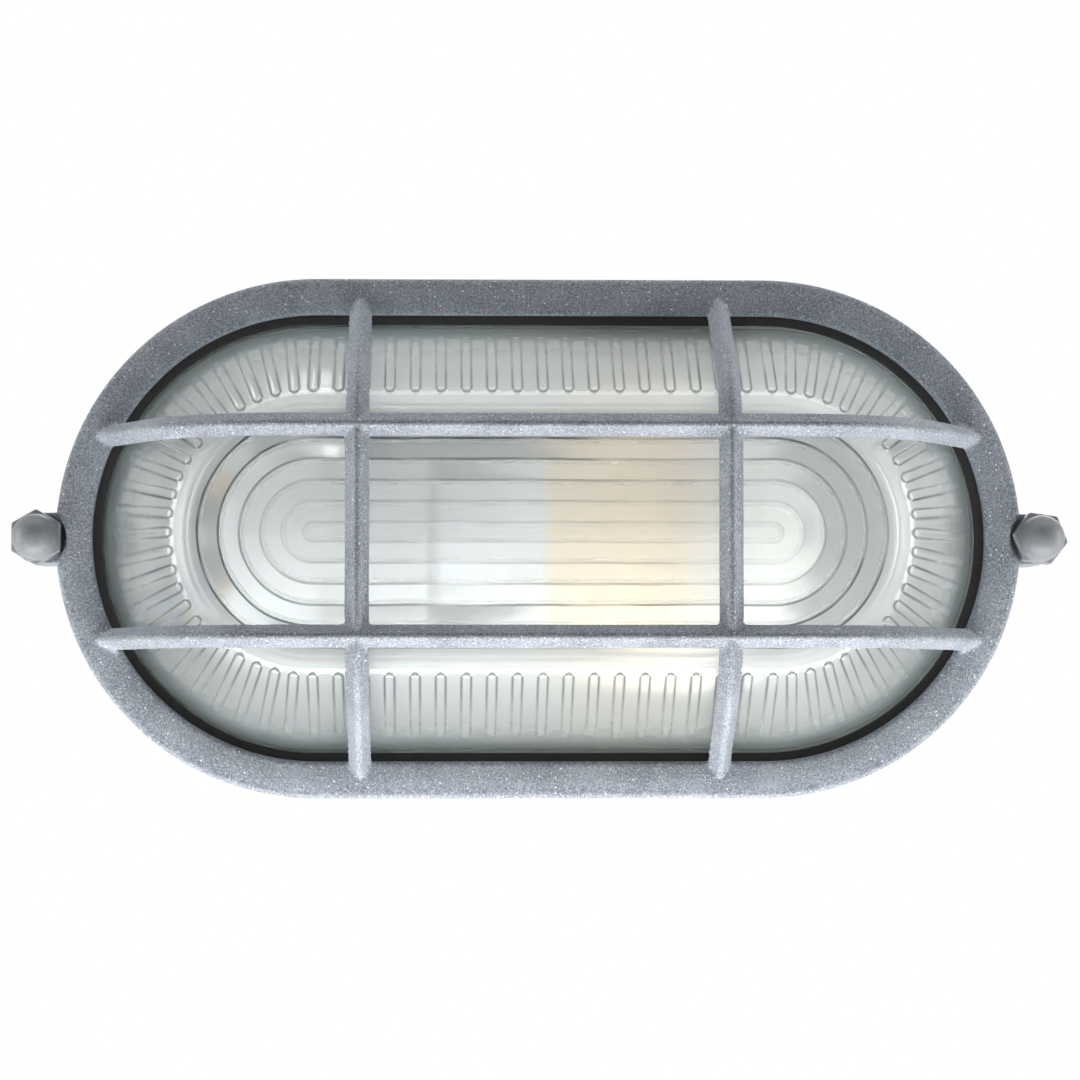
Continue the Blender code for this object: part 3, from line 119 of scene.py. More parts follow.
def weld():
    """In edit mode: merge corners that lie on each other."""
    bpy.ops.mesh.select_all(action="SELECT")
    bpy.ops.mesh.remove_doubles(threshold=WELD_DISTANCE)
    bpy.ops.mesh.select_all(action="SELECT")


def apply_modifier(piece, name, kind, **settings):
    activate(piece)
    step = piece.modifiers.new(name, kind)
    for key, value in settings.items():
        setattr(step, key, value)
    bpy.ops.object.modifier_apply(modifier=step.name)


def combine(piece, tool, operation):
    """Boolean of a piece with a tool. The tool is used up."""
    apply_modifier(piece, operation.lower(), "BOOLEAN",
                   operation=operation, object=tool, solver="EXACT")
    bpy.data.objects.remove(tool)


def shade(piece, angle=35.0):
    activate(piece)
    bpy.ops.object.shade_smooth_by_angle(angle=math.radians(angle))


def triangles(piece):
    piece.data.calc_loop_triangles()
    return len(piece.data.loop_triangles)


# %% [markdown]
# A cast or pressed oval has the same section all the way round. By hand one draws that
# section, spins it half round one end, extrudes it along the straight, and does both
# once more. The section is drawn by extruding a single corner from point to point; a
# plane that is merged at its centre gives that first corner.

# %% Draw a section and carry it round the oval
def draw_outline(name, places, closed):
    """A line from corner to corner, left open for editing and all selected."""
    deselect_everything()
    bpy.ops.mesh.primitive_plane_add(size=MM, location=places[0])
    outline = bpy.context.object
    outline.name = name
    apply_transform()
    edit()
    select_all("VERT")
    bpy.ops.mesh.merge(type="CENTER")
    for before, after in zip(places, places[1:]):
        extrude_by(after - before)
    if closed:
        extrude_by(places[0] - places[-1])
        weld()
    bpy.ops.mesh.select_all(action="SELECT")
    return outline


def draw_section(name, points, closed):
    """A line of (radius, depth) points below the right-hand centre of the oval."""
    places = [Vector((HALF_STRAIGHT, -depth, -radius)) for radius, depth in points]
    return draw_outline(name, places, closed)


def sweep_oval(end_steps):
    """Spin, extrude, spin, extrude: the drawn section goes once round and meets itself."""
    select_all("EDGE")
    for side in (1.0, -1.0):
        bpy.ops.mesh.spin(steps=end_steps, angle=-math.pi,
                          center=(side * HALF_STRAIGHT, 0.0, 0.0), axis=(0.0, -1.0, 0.0))
        extrude_by((-side * 2 * HALF_STRAIGHT, 0.0, 0.0))
    weld()
    bpy.ops.mesh.normals_make_consistent(inside=False)
    leave_edit()


def cut_straights(section, cuts):
    """Cut the two long straights across, in several goes when a straight takes many cuts."""
    activate(section)
    edit()
    for number in cuts:
        shape = bmesh.from_edit_mesh(section.data)
        bpy.ops.mesh.select_mode(type="EDGE")
        bpy.ops.mesh.select_all(action="DESELECT")
        for line in shape.edges:
            a, b = line.verts[0].co, line.verts[1].co
            within = max(abs(a.x), abs(b.x)) < HALF_STRAIGHT + SAME_PLACE
            line.select = within and abs(a.x - b.x) > SAME_PLACE
        shape.select_flush_mode()
        bmesh.update_edit_mesh(section.data)
        bpy.ops.mesh.subdivide(number_cuts=number)
    leave_edit()


def oval(name, points, closed, end_steps, cuts=()):
    piece = draw_section(name, points, closed)
    sweep_oval(end_steps)
    if cuts:
        cut_straights(piece, cuts)
    return piece


def rounded(points, radius, closed=False):
    """The same outline with each inner corner cut to a short arc of three points."""
    result = []
    count = len(points)
    for i, point in enumerate(points):
        here = Vector(point)
        if not closed and i in (0, count - 1):
            result.append(tuple(here))
            continue
        before, after = Vector(points[i - 1]), Vector(points[(i + 1) % count])
        to_before, to_after = before - here, after - here
        reach = min(radius, to_before.length / 3, to_after.length / 3)
        start = here + to_before.normalized() * reach
        end = here + to_after.normalized() * reach
        result.append(tuple(start))
        result.append(tuple((start + end) / 4 + here / 2))
        result.append(tuple(end))
    return result


# %% [markdown]
# The guard frame is one rough casting: a hollow ring, two long bars, two cross bars and
# two ears. Real castings have no sharp edge anywhere, and thick paint rounds them
# further. So the frame is put together from crisp shapes first, then a voxel remesh
# melts them into one skin and a few smoothing passes take the steps out of it. That
# also gives the small fillets where the bars cross.

# %% Ring of the guard frame
RING_BAND = 8.0 * MM
RING_WEB = 3.0 * MM
RING_FACE = 55.0 * MM
GASKET_GAP = 0.3 * MM
RING_SKIRT = RING_R - (gasket_high.z + GASKET_GAP)
RING_CROWN = 0.25 * MM
RING_ROUND = 0.9 * MM
RING_END_STEPS = 72
ring_inner = RING_R - RING_BAND
ring_section = rounded([
    (ring_inner, RING_FACE - RING_WEB), (ring_inner, RING_FACE - RING_CROWN),
    (ring_inner + RING_BAND / 2, RING_FACE), (RING_R, RING_FACE - 2 * RING_CROWN),
    (RING_R, RING_BACK), (RING_R - RING_SKIRT, RING_BACK),
    (RING_R - RING_SKIRT, RING_FACE - RING_WEB)], RING_ROUND, closed=True)
guard = oval("cast_guard", ring_section, True, RING_END_STEPS)
print("ring", len(guard.data.polygons), "faces")

# %% [markdown]
# A nut sits in a round pocket cut into the outer edge of the ring, over an ear that
# stands out sideways. The pocket is a cylinder taken away from the ring. The ear is a
# round pad with a neck, and the hole of its stud goes through it.

# %% Nut pockets and ears
nut_low, nut_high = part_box("cap_nut_right")
EAR_X = (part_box("stud_right")[0].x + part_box("stud_right")[1].x) / 2
STUD_R = (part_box("stud_right")[1].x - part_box("stud_right")[0].x) / 2
EAR_R = guard_high.x - EAR_X
NUT_SEAT = -nut_high.y
NUT_GAP = 0.3 * MM
EAR_FACE = NUT_SEAT - NUT_GAP
POCKET_R = 6.5 * MM
STUD_GAP = 0.3 * MM
OVERSHOOT = MM  # how far a cutting tool stands out of what it cuts


def cylinder(name, x, z, radius, back, front, vertices=48):
    """An upright disc of the wall: its axis runs out of the wall, between two depths."""
    deselect_everything()
    bpy.ops.mesh.primitive_cylinder_add(
        vertices=vertices, radius=radius, depth=front - back,
        location=(x, -(front + back) / 2, z), rotation=(math.pi / 2, 0.0, 0.0))
    piece = bpy.context.object
    piece.name = name
    apply_transform()
    return piece


def block(name, low, high):
    deselect_everything()
    low, high = Vector(low), Vector(high)
    bpy.ops.mesh.primitive_cube_add(size=1.0, location=(low + high) / 2, scale=high - low)
    piece = bpy.context.object
    piece.name = name
    apply_transform()
    return piece


guard_parts = [guard]
for side in (-1, 1):
    pocket = cylinder("pocket", side * EAR_X, 0.0, POCKET_R, EAR_FACE, RING_FACE + OVERSHOOT)
    combine(guard, pocket, "DIFFERENCE")
    ear = cylinder("ear", side * EAR_X, 0.0, EAR_R, RING_BACK, EAR_FACE)
    root = side * (HALF_STRAIGHT + RING_R - RING_SKIRT / 2)
    neck = block("neck", (min(root, side * EAR_X), -EAR_FACE, -EAR_R),
                 (max(root, side * EAR_X), -RING_BACK, EAR_R))
    combine(ear, neck, "UNION")
    hole = cylinder("hole", side * EAR_X, 0.0, STUD_R + STUD_GAP,
                    RING_BACK - OVERSHOOT, EAR_FACE + OVERSHOOT)
    combine(ear, hole, "DIFFERENCE")
    guard_parts.append(ear)
print("ear centre", round(EAR_X, 4), "ear face at depth", round(EAR_FACE, 4))

# %% [markdown]
# A bar has a flat underside and two sloping sides that meet in a narrow ridge. Its
# section is extruded up from the ring, spun through the shoulder bend, extruded over
# the top and brought down the same way. Both long bars are alike and both cross bars
# are alike, so each is modelled once and copied.

# %% Bars of the guard frame
BAR_WIDTH = 5.3 * MM
BAR_HEIGHT = 3.7 * MM
BAR_RIDGE = 1.3 * MM
BAR_SLOPE = math.radians(60.0)
BAR_TIP_INSET = 4.4 * MM
BAR_FOOT_DEPTH = 2.7 * MM
BAR_BEND_STEPS = 12
LONG_BAR_Z = 22.1 * MM
LONG_BAR_BEND = 34.0 * MM
CROSS_BAR_X = 39.0 * MM
CROSS_BAR_BEND = 20.0 * MM


def model_bar(name, half_reach, bend_radius):
    """A bar along X in the middle of the lamp."""
    low = RING_FACE - BAR_FOOT_DEPTH
    top = GUARD_TOP - BAR_HEIGHT
    ridge_low = low + BAR_HEIGHT * math.cos(BAR_SLOPE)
    buried = (RING_FACE - ridge_low) / math.tan(BAR_SLOPE)
    foot = half_reach - BAR_TIP_INSET - BAR_HEIGHT * math.sin(BAR_SLOPE) + buried
    rise = top - low - bend_radius * (1 - math.cos(BAR_SLOPE))
    bend_x = foot - rise / math.tan(BAR_SLOPE) - bend_radius * math.sin(BAR_SLOPE)
    outward = Vector((-math.sin(BAR_SLOPE), -math.cos(BAR_SLOPE), 0.0))
    uphill = Vector((math.cos(BAR_SLOPE), -math.sin(BAR_SLOPE), 0.0))
    start = Vector((-foot, -low, 0.0))
    half, ridge = BAR_WIDTH / 2, BAR_RIDGE / 2
    outline = [(-half, 0.0), (half, 0.0), (ridge, BAR_HEIGHT - ridge / 2), (0.0, BAR_HEIGHT),
               (-ridge, BAR_HEIGHT - ridge / 2)]
    places = [start + outward * up + Vector((0.0, 0.0, across)) for across, up in outline]
    bar = draw_outline(name, places, True)
    select_all("EDGE")
    slope_length = rise / math.sin(BAR_SLOPE)
    extrude_by(uphill * slope_length)
    centre_y = -(top - bend_radius)
    bpy.ops.mesh.spin(steps=BAR_BEND_STEPS, angle=-BAR_SLOPE, center=(-bend_x, centre_y, 0.0),
                      axis=(0.0, 0.0, 1.0))
    extrude_by((2 * bend_x, 0.0, 0.0))
    bpy.ops.mesh.spin(steps=BAR_BEND_STEPS, angle=-BAR_SLOPE, center=(bend_x, centre_y, 0.0),
                      axis=(0.0, 0.0, 1.0))
    downhill = Vector((uphill.x, -uphill.y, 0.0))
    extrude_by(downhill * slope_length)
    bpy.ops.mesh.select_mode(type="VERT")
    bpy.ops.mesh.select_all(action="DESELECT")
    bpy.ops.mesh.select_non_manifold()
    bpy.ops.mesh.fill_holes(sides=0)
    bpy.ops.mesh.select_all(action="SELECT")
    bpy.ops.mesh.normals_make_consistent(inside=False)
    leave_edit()
    return bar


def copy_of(piece, name):
    twin = piece.copy()
    twin.data = piece.data.copy()
    twin.name = name
    bpy.context.scene.collection.objects.link(twin)
    return twin


def shift(piece, vector):
    activate(piece)
    piece.location = vector
    apply_transform()


long_reach = HALF_STRAIGHT + math.sqrt(RING_R ** 2 - LONG_BAR_Z ** 2)
long_bar = model_bar("long_bar", long_reach, LONG_BAR_BEND)
cross_bar = model_bar("cross_bar", RING_R, CROSS_BAR_BEND)
activate(cross_bar)
cross_bar.rotation_euler = (0.0, math.pi / 2, 0.0)
apply_transform()
for bar, offset in ((long_bar, Vector((0.0, 0.0, LONG_BAR_Z))),
                    (cross_bar, Vector((CROSS_BAR_X, 0.0, 0.0)))):
    twin = copy_of(bar, bar.name + "_twin")
    shift(bar, offset)
    shift(twin, -offset)
    guard_parts += [bar, twin]


def extent(piece):
    """Low and high corner of a piece, in millimetres."""
    places = np.empty(len(piece.data.vertices) * 3, np.float32)
    piece.data.vertices.foreach_get("co", places)
    places = places.reshape(-1, 3) / MM
    corners = (places.min(axis=0), places.max(axis=0))
    return [[round(float(c), 1) for c in corner] for corner in corners]


for part in guard_parts:
    print(part.name, extent(part))

# %% [markdown]
# Ring, ears and bars still overlap as separate shapes. Joined and melted they are one
# skin. A voxel remesh makes far more faces than the flat parts need, so about half of
# them are taken out again.

# %% Melt the frame into one casting
GUARD_VOXEL = 0.42 * MM
GUARD_SHARE_KEPT = 0.46
SMOOTHING_PASSES = 2


def join(parts):
    activate(parts[0])
    for part in parts[1:]:
        part.select_set(True)
    bpy.ops.object.join()
    return parts[0]


def melt(piece, voxel):
    """Voxel remesh and smoothing: crisp overlapping shapes become one soft skin."""
    apply_modifier(piece, "melt", "REMESH", mode="VOXEL", voxel_size=voxel)
    apply_modifier(piece, "soften", "SMOOTH", factor=0.5, iterations=SMOOTHING_PASSES)
    activate(piece)
    bpy.ops.object.shade_smooth()


guard = join(guard_parts)
melt(guard, GUARD_VOXEL)
apply_modifier(guard, "thin_out", "DECIMATE", ratio=GUARD_SHARE_KEPT)
print("guard frame", triangles(guard), "triangles", extent(guard))

# %% [markdown]
# Domed nuts are a hexagon with a cap. The hexagon's edges are bevelled, the cap is a ball
# on a short neck that sinks into it, and the same melting rounds the painted edges. The
# left nut stands with a corner at the top, and the right one is turned against it.

# %% Domed nuts
NUT_HEX_HEIGHT = 5.2 * MM
NUT_DOME_R = 4.9 * MM
NUT_ACROSS_FLATS = 10.6 * MM
NUT_BORE = 9.4 * MM
NUT_EDGE = 0.35 * MM
NUT_VOXEL = 0.17 * MM
nut_top = -nut_low.y
NUT_TURNS = {"left": 0.0, "right": 22.0}


def domed_nut(name, x, turn):
    deselect_everything()
    corner_r = NUT_ACROSS_FLATS / 2 / math.cos(math.pi / 6)
    bpy.ops.mesh.primitive_cylinder_add(
        vertices=6, radius=corner_r, depth=NUT_HEX_HEIGHT,
        location=(x, -(NUT_SEAT + NUT_HEX_HEIGHT / 2), 0.0),
        rotation=(math.pi / 2, -math.radians(turn), 0.0))
    nut = bpy.context.object
    nut.name = name
    apply_transform()
    apply_modifier(nut, "edges", "BEVEL", width=NUT_EDGE, segments=2)
    centre = nut_top - NUT_DOME_R
    neck = cylinder("neck", x, 0.0, NUT_DOME_R, NUT_SEAT + OVERSHOOT, centre)
    deselect_everything()
    bpy.ops.mesh.primitive_uv_sphere_add(segments=48, ring_count=24, radius=NUT_DOME_R,
                                         location=(x, -centre, 0.0))
    dome = bpy.context.object
    apply_transform()
    bore = cylinder("bore", x, 0.0, STUD_R + STUD_GAP, NUT_SEAT - OVERSHOOT, NUT_SEAT + NUT_BORE)
    for part in (neck, dome):
        combine(nut, part, "UNION")
    combine(nut, bore, "DIFFERENCE")
    melt(nut, NUT_VOXEL)
    return nut


nuts = {}
for side, direction in (("left", -1), ("right", 1)):
    nuts[side] = domed_nut(f"domed_nut_{side}", direction * EAR_X, NUT_TURNS[side])
print("nuts", [triangles(nut) for nut in nuts.values()], "triangles each")

# %% [markdown]
# The glass is pressed in a mould. Its front carries shallow oval lens ridges with a sharp
# valley between two of them, and its shoulder a row of short ribs with round inner
# ends. Both bend the light, and this is what one sees of clear glass, so they are real
# shape here and no bump. The section has close points where a rib begins and wide ones
# along its plain length.

# %% Section of the glass
FLANGE_R = glass_high.z
FLANGE_BACK = -glass_high.y
FLANGE_FRONT = FLANGE_BACK + 4.0 * MM
GLASS_FRONT = -glass_low.y
GLASS_WALL = 3.8 * MM
NECK_R = 46.3 * MM
SHOULDER_BOTTOM = (43.7 * MM, FLANGE_FRONT + 9.0 * MM)
SHOULDER_TOP = (30.5 * MM, FLANGE_FRONT + 27.6 * MM)
FRONT_EDGE_R = 26.5 * MM
FLANGE_ROUND = 0.6 * MM
# Corners of the section in millimetres: how far each one of the neck lies inside NECK_R
# and above the flange, the radii of those on the shoulder, and radius and rise of those
# round its top.
NECK_ROWS = ((0.1, 0.3), (0.6, 4.7), (1.3, 7.0))
SHOULDER_ROWS = (43.6, 43.2, 42.8, 42.2, 40.0, 37.5, 35.0, 32.6, 31.6, 31.2, 30.9, 30.65)
CORNER_ROWS = ((30.3, 27.85), (30.0, 28.18), (29.7, 28.48), (29.4, 28.75), (29.0, 29.05),
               (28.4, 29.42), (27.5, 29.8))
LENS_VALLEY = 0.32 * MM
LENS_COUNT = 6
LENS_INNER_R = 2.1 * MM
LENS_PITCH = 4.42 * MM
RIB_HALF_WIDTH = 1.2 * MM
RIB_STAND = 0.5 * MM
RIB_INNER_R = 29.6 * MM
RIB_OUTER_R = 43.2 * MM
RIBS_PER_END = 24
RIBS_PER_STRAIGHT = 18
STEPS_PER_RIB = 16


def on_shoulder(radius):
    share = (SHOULDER_BOTTOM[0] - radius) / (SHOULDER_BOTTOM[0] - SHOULDER_TOP[0])
    return (radius, SHOULDER_BOTTOM[1] + (SHOULDER_TOP[1] - SHOULDER_BOTTOM[1]) * share)


def lens_valleys():
    return [LENS_INNER_R + i * LENS_PITCH for i in range(LENS_COUNT)]


def glass_section():
    flange = rounded([(FLANGE_R, FLANGE_BACK), (FLANGE_R, FLANGE_FRONT), (NECK_R, FLANGE_FRONT)],
                     FLANGE_ROUND)
    neck = [(NECK_R - drop * MM, FLANGE_FRONT + rise * MM) for drop, rise in NECK_ROWS]
    shoulder = [on_shoulder(radius * MM) for radius in SHOULDER_ROWS]
    corner = [(radius * MM, FLANGE_FRONT + rise * MM) for radius, rise in CORNER_ROWS]
    corner.append((FRONT_EDGE_R, GLASS_FRONT - LENS_VALLEY))
    front = []
    for valley in reversed(lens_valleys()):
        front.append((valley, GLASS_FRONT - LENS_VALLEY))
        front += [(valley - LENS_PITCH * share, GLASS_FRONT - LENS_VALLEY * (2 * share - 1) ** 2)
                  for share in (0.2, 0.5, 0.8) if valley > LENS_PITCH]
    front += [(LENS_INNER_R / 2, GLASS_FRONT - LENS_VALLEY / 3),
              (0.0, GLASS_FRONT - LENS_VALLEY / 4)]
    slope = math.atan2(SHOULDER_TOP[1] - SHOULDER_BOTTOM[1], SHOULDER_BOTTOM[0] - SHOULDER_TOP[0])
    inset_r, inset_depth = GLASS_WALL * math.sin(slope), GLASS_WALL * math.cos(slope)
    back = GLASS_FRONT - GLASS_WALL
    inner = [(0.0, back), (FRONT_EDGE_R - 3.0 * MM, back),
             (FRONT_EDGE_R - 1.0 * MM, back - 0.3 * MM),
             (SHOULDER_TOP[0] - inset_r, SHOULDER_TOP[1] - inset_depth),
             (SHOULDER_BOTTOM[0] - inset_r, SHOULDER_BOTTOM[1] - inset_depth),
             (NECK_R - GLASS_WALL, FLANGE_FRONT), (NECK_R - GLASS_WALL, FLANGE_BACK)]
    return inner + flange + neck + shoulder + corner + front


glass = oval("ribbed_glass", glass_section(), False, RIBS_PER_END * STEPS_PER_RIB,
             cuts=(RIBS_PER_STRAIGHT - 1, STEPS_PER_RIB - 1))
print("plain glass", triangles(glass), "triangles")

# %% [markdown]
# A rib is a low half-round ridge. With the close mesh in place, each corner of the
# shoulder moves out along its normal by a height that depends only on how far it lies
# from the middle line of the nearest rib. Seen from the front a rib is a bar with a
# round end, and the distance to such a bar is simple to work out.

# %% Press the ribs into the shoulder
FACES_OUT = -0.2  # the Y of a normal is below this on the outer side of the glass
RIB_MARGIN = 0.1 * MM


def oval_radius(x, z):
    """Distance in the plane of the front from the line between the two centres."""
    return np.hypot(np.maximum(np.abs(x) - HALF_STRAIGHT, 0.0), z)


def rib_distance(x, z):
    """Distance in the plane of the front to the middle line of the nearest rib."""
    radius = oval_radius(x, z)
    on_end = np.abs(x) > HALF_STRAIGHT
    angle = np.arctan2(z, np.maximum(np.abs(x) - HALF_STRAIGHT, 1e-9))
    step = math.pi / RIBS_PER_END
    across_end = (angle - np.round(angle / step) * step) * radius
    pitch = 2 * HALF_STRAIGHT / RIBS_PER_STRAIGHT
    across_straight = x - np.round(x / pitch) * pitch
    across = np.where(on_end, across_end, across_straight)
    start, end = RIB_INNER_R + RIB_HALF_WIDTH, RIB_OUTER_R - RIB_HALF_WIDTH
    along = np.maximum(start - radius, 0.0) + np.maximum(radius - end, 0.0)
    return np.hypot(across, along)


def press_ribs(piece):
    mesh = piece.data
    count = len(mesh.vertices)
    place = np.empty(count * 3, np.float32)
    normal = np.empty(count * 3, np.float32)
    mesh.vertices.foreach_get("co", place)
    mesh.vertices.foreach_get("normal", normal)
    place, normal = place.reshape(-1, 3), normal.reshape(-1, 3)
    share = np.clip(rib_distance(place[:, 0], place[:, 2]) / RIB_HALF_WIDTH, 0.0, 1.0)
    height = RIB_STAND * np.sqrt(1.0 - share ** 2)
    outer_side = normal[:, 1] < FACES_OUT
    height[~outer_side] = 0.0
    height[oval_radius(place[:, 0], place[:, 2]) < RIB_INNER_R - RIB_MARGIN] = 0.0
    place += normal * height[:, None]
    mesh.vertices.foreach_set("co", place.ravel())
    mesh.update()
    return int((height > 0).sum())


def sharpen_valleys(piece):
    """Mark the bottoms of the lens valleys sharp, so that the light breaks there."""
    radii = lens_valleys() + [FRONT_EDGE_R]

    def in_valley(place):
        radius = oval_radius(place.x, place.z)
        near_front = -place.y > GLASS_FRONT - 2 * LENS_VALLEY
        return near_front and min(abs(radius - valley) for valley in radii) < 2 * SAME_PLACE

    activate(piece)
    bpy.ops.object.shade_smooth()
    edit()
    shape = bmesh.from_edit_mesh(piece.data)
    bpy.ops.mesh.select_mode(type="EDGE")
    bpy.ops.mesh.select_all(action="DESELECT")
    for line in shape.edges:
        line.select = in_valley(line.verts[0].co) and in_valley(line.verts[1].co)
    bmesh.update_edit_mesh(piece.data)
    bpy.ops.mesh.mark_sharp()
    leave_edit()


pressed = press_ribs(glass)
sharpen_valleys(glass)
print("ribs moved", pressed, "corners;", triangles(glass), "triangles", extent(glass))

# %% [markdown]
# The rubber gasket wraps the edge of the glass. What shows is its front lip, so that
# lip has a soft rounded edge. The section is a U lying on its side.

# %% Gasket
GASKET_LIP = 1.4 * MM
GASKET_ROUND = 0.5 * MM
GASKET_END_STEPS = 60
GASKET_R = gasket_high.z
gasket_back, gasket_front = -gasket_high.y, -gasket_low.y
back_lip_r, front_lip_r = GASKET_R - 5.2 * MM, GASKET_R - 6.7 * MM
channel_r = GASKET_R - GASKET_LIP
gasket_section = rounded([
    (back_lip_r, gasket_back), (GASKET_R, gasket_back), (GASKET_R, gasket_front),
    (front_lip_r, gasket_front), (front_lip_r, gasket_front - GASKET_LIP),
    (channel_r, gasket_front - GASKET_LIP), (channel_r, gasket_back + GASKET_LIP),
    (back_lip_r, gasket_back + GASKET_LIP)], GASKET_ROUND, closed=True)
gasket = oval("rubber_gasket", gasket_section, True, GASKET_END_STEPS)
shade(gasket)
print("gasket", triangles(gasket), "triangles")

# %% [markdown]
# Body, reflector, lampholder and the small metal pieces already have their true shape
# in the solids. Their edges are as sharp as the tool left them, though, and a real edge
# always catches a thin line of light. So a copy of the body is merged, its flat areas
# are dissolved into single faces, and its edges are bevelled a little.

# %% Softened copies of construction solids
BODY_EDGE = 0.4 * MM
FLAT_ANGLE = math.radians(0.5)
EDGE_ANGLE = math.radians(40.0)


def softened(node, name, width, segments=2):
    source = frame["nodes"][node]
    piece = copy_of(source, name)
    piece.parent = None
    for key in list(piece.keys()):
        del piece[key]
    activate(piece)
    edit()
    weld()
    bpy.ops.mesh.dissolve_limited(angle_limit=FLAT_ANGLE)
    leave_edit()
    apply_modifier(piece, "edges", "BEVEL", width=width, segments=segments, limit_method="ANGLE",
                   angle_limit=EDGE_ANGLE, use_clamp_overlap=True)
    shade(piece)
    return piece


body = softened("housing", "cast_body", BODY_EDGE)
print("body", triangles(body), "triangles")

# %% [markdown]
# Materials are node trees. Writing them as plain arithmetic keeps them readable: a
# Signal wraps one socket, and adding, multiplying or comparing signals places the
# matching Math nodes. Every other node comes from one method, which takes the node's
# type, its settings and what goes into its sockets.

# %% A small language for materials
class Signal:
    """One output socket of a material, usable in arithmetic."""

    def __init__(self, finish, socket):
        self.finish = finish
        self.socket = socket

    def maths(self, operation, *values):
        return self.finish.node("Math", {"operation": operation}, dict(enumerate(values)))

    def __add__(self, other):
        return self.maths("ADD", self, other)

    __radd__ = __add__

    def __sub__(self, other):
        return self.maths("SUBTRACT", self, other)

    def __rsub__(self, other):
        return self.maths("SUBTRACT", other, self)

    def __mul__(self, other):
        return self.maths("MULTIPLY", self, other)

    __rmul__ = __mul__

    def __truediv__(self, other):
        return self.maths("DIVIDE", self, other)

    def __pow__(self, other):
        return self.maths("POWER", self, other)

    def __gt__(self, other):
        return self.maths("GREATER_THAN", self, other)

    def __lt__(self, other):
        return self.maths("LESS_THAN", self, other)

    def __abs__(self):
        return self.maths("ABSOLUTE", self)


class Finish:
    """A material with a Principled shader: constants on its sockets, signals where it varies."""

    def __init__(self, name, **constants):
        self.material = bpy.data.materials.new(name)
        self.material.use_nodes = True
        self.tree = self.material.node_tree
        self.shader = self.tree.nodes["Principled BSDF"]
        self.output = self.tree.nodes["Material Output"]
        for key, value in constants.items():
            self.feed(key.replace("_", " ").title(), value)
        self.place = self.node("TexCoord", output="Object")

    def node(self, kind, settings=None, values=None, output=0):
        node = self.tree.nodes.new("ShaderNode" + kind)
        for key, value in (settings or {}).items():
            setattr(node, key, value)
        for key, value in (values or {}).items():
            self.connect(node.inputs[key], value)
        return Signal(self, node.outputs[output])

    def connect(self, socket, value):
        if isinstance(value, Signal):
            self.tree.links.new(value.socket, socket)
        elif isinstance(value, tuple) and len(value) == 3 and socket.type == "RGBA":
            socket.default_value = (*value, 1.0)
        else:
            socket.default_value = value

    def feed(self, name, value):
        known = {"Ior": "IOR", "Specular Ior Level": "Specular IOR Level"}
        self.connect(self.shader.inputs[known.get(name, name)], value)

    def noise(self, size, detail=2.0, roughness=0.5):
        """Noise with features of about the given size in metres."""
        values = {"Vector": self.place, "Scale": 1.0 / size, "Detail": detail,
                  "Roughness": roughness}
        return self.node("TexNoise", {"noise_dimensions": "3D"}, values, output="Fac")

    def mix(self, mask, first, second):
        """A colour that goes from the first to the second with the mask."""
        return self.node("Mix", {"data_type": "RGBA"}, {0: mask, 6: first, 7: second}, output=2)

    def ramp(self, value, low, high):
        """0 below low, 1 above high, and a smooth turn between."""
        return self.node("MapRange", {"interpolation_type": "SMOOTHSTEP"},
                         {"Value": value, "From Min": low, "From Max": high})

    def bump(self, height, distance, strength=1.0):
        values = {"Height": height, "Distance": distance, "Strength": strength}
        return self.node("Bump", None, values, output="Normal")

    def axes(self):
        node = self.tree.nodes.new("ShaderNodeSeparateXYZ")
        self.connect(node.inputs[0], self.place)
        return [Signal(self, socket) for socket in node.outputs]


print("material helpers ready")

# %% [markdown]
# The casting has a grey textured paint with fine pale flecks in it. Three scales make
# it: flecks of a fifth to two fifths of a millimetre, a grain you would feel with a nail,
# and slow cloudy patches. The flecks come from cell noise: each cell has a random value,
# and only the brightest cells show as a dot.

# %% Grey textured paint
BODY_INNER_R = 47.2 * MM
BODY_FLOOR = 3.0 * MM


def above(value, low):
    """How far a signal lies above a value, else 0."""
    return (value - low).maths("MAXIMUM", value - low, 0.0)


def distance_out(finish):
    """Radius from the middle line of the oval, and depth out of the wall."""
    x, y, z = finish.axes()
    past_end = above(abs(x), HALF_STRAIGHT)
    return (past_end * past_end + z * z) ** 0.5, 0.0 - y


def flecks(finish, size, share, radius):
    """1 inside small dots that sit in a share of the cells, else 0."""
    cells = finish.tree.nodes.new("ShaderNodeTexVoronoi")
    finish.connect(cells.inputs["Vector"], finish.place)
    finish.connect(cells.inputs["Scale"], 1.0 / size)
    distance = Signal(finish, cells.outputs["Distance"])
    colour = Signal(finish, cells.outputs["Color"])
    pick = finish.node("SeparateColor", None, {0: colour}, output=0)
    return (pick > 1.0 - share) * (distance < radius)


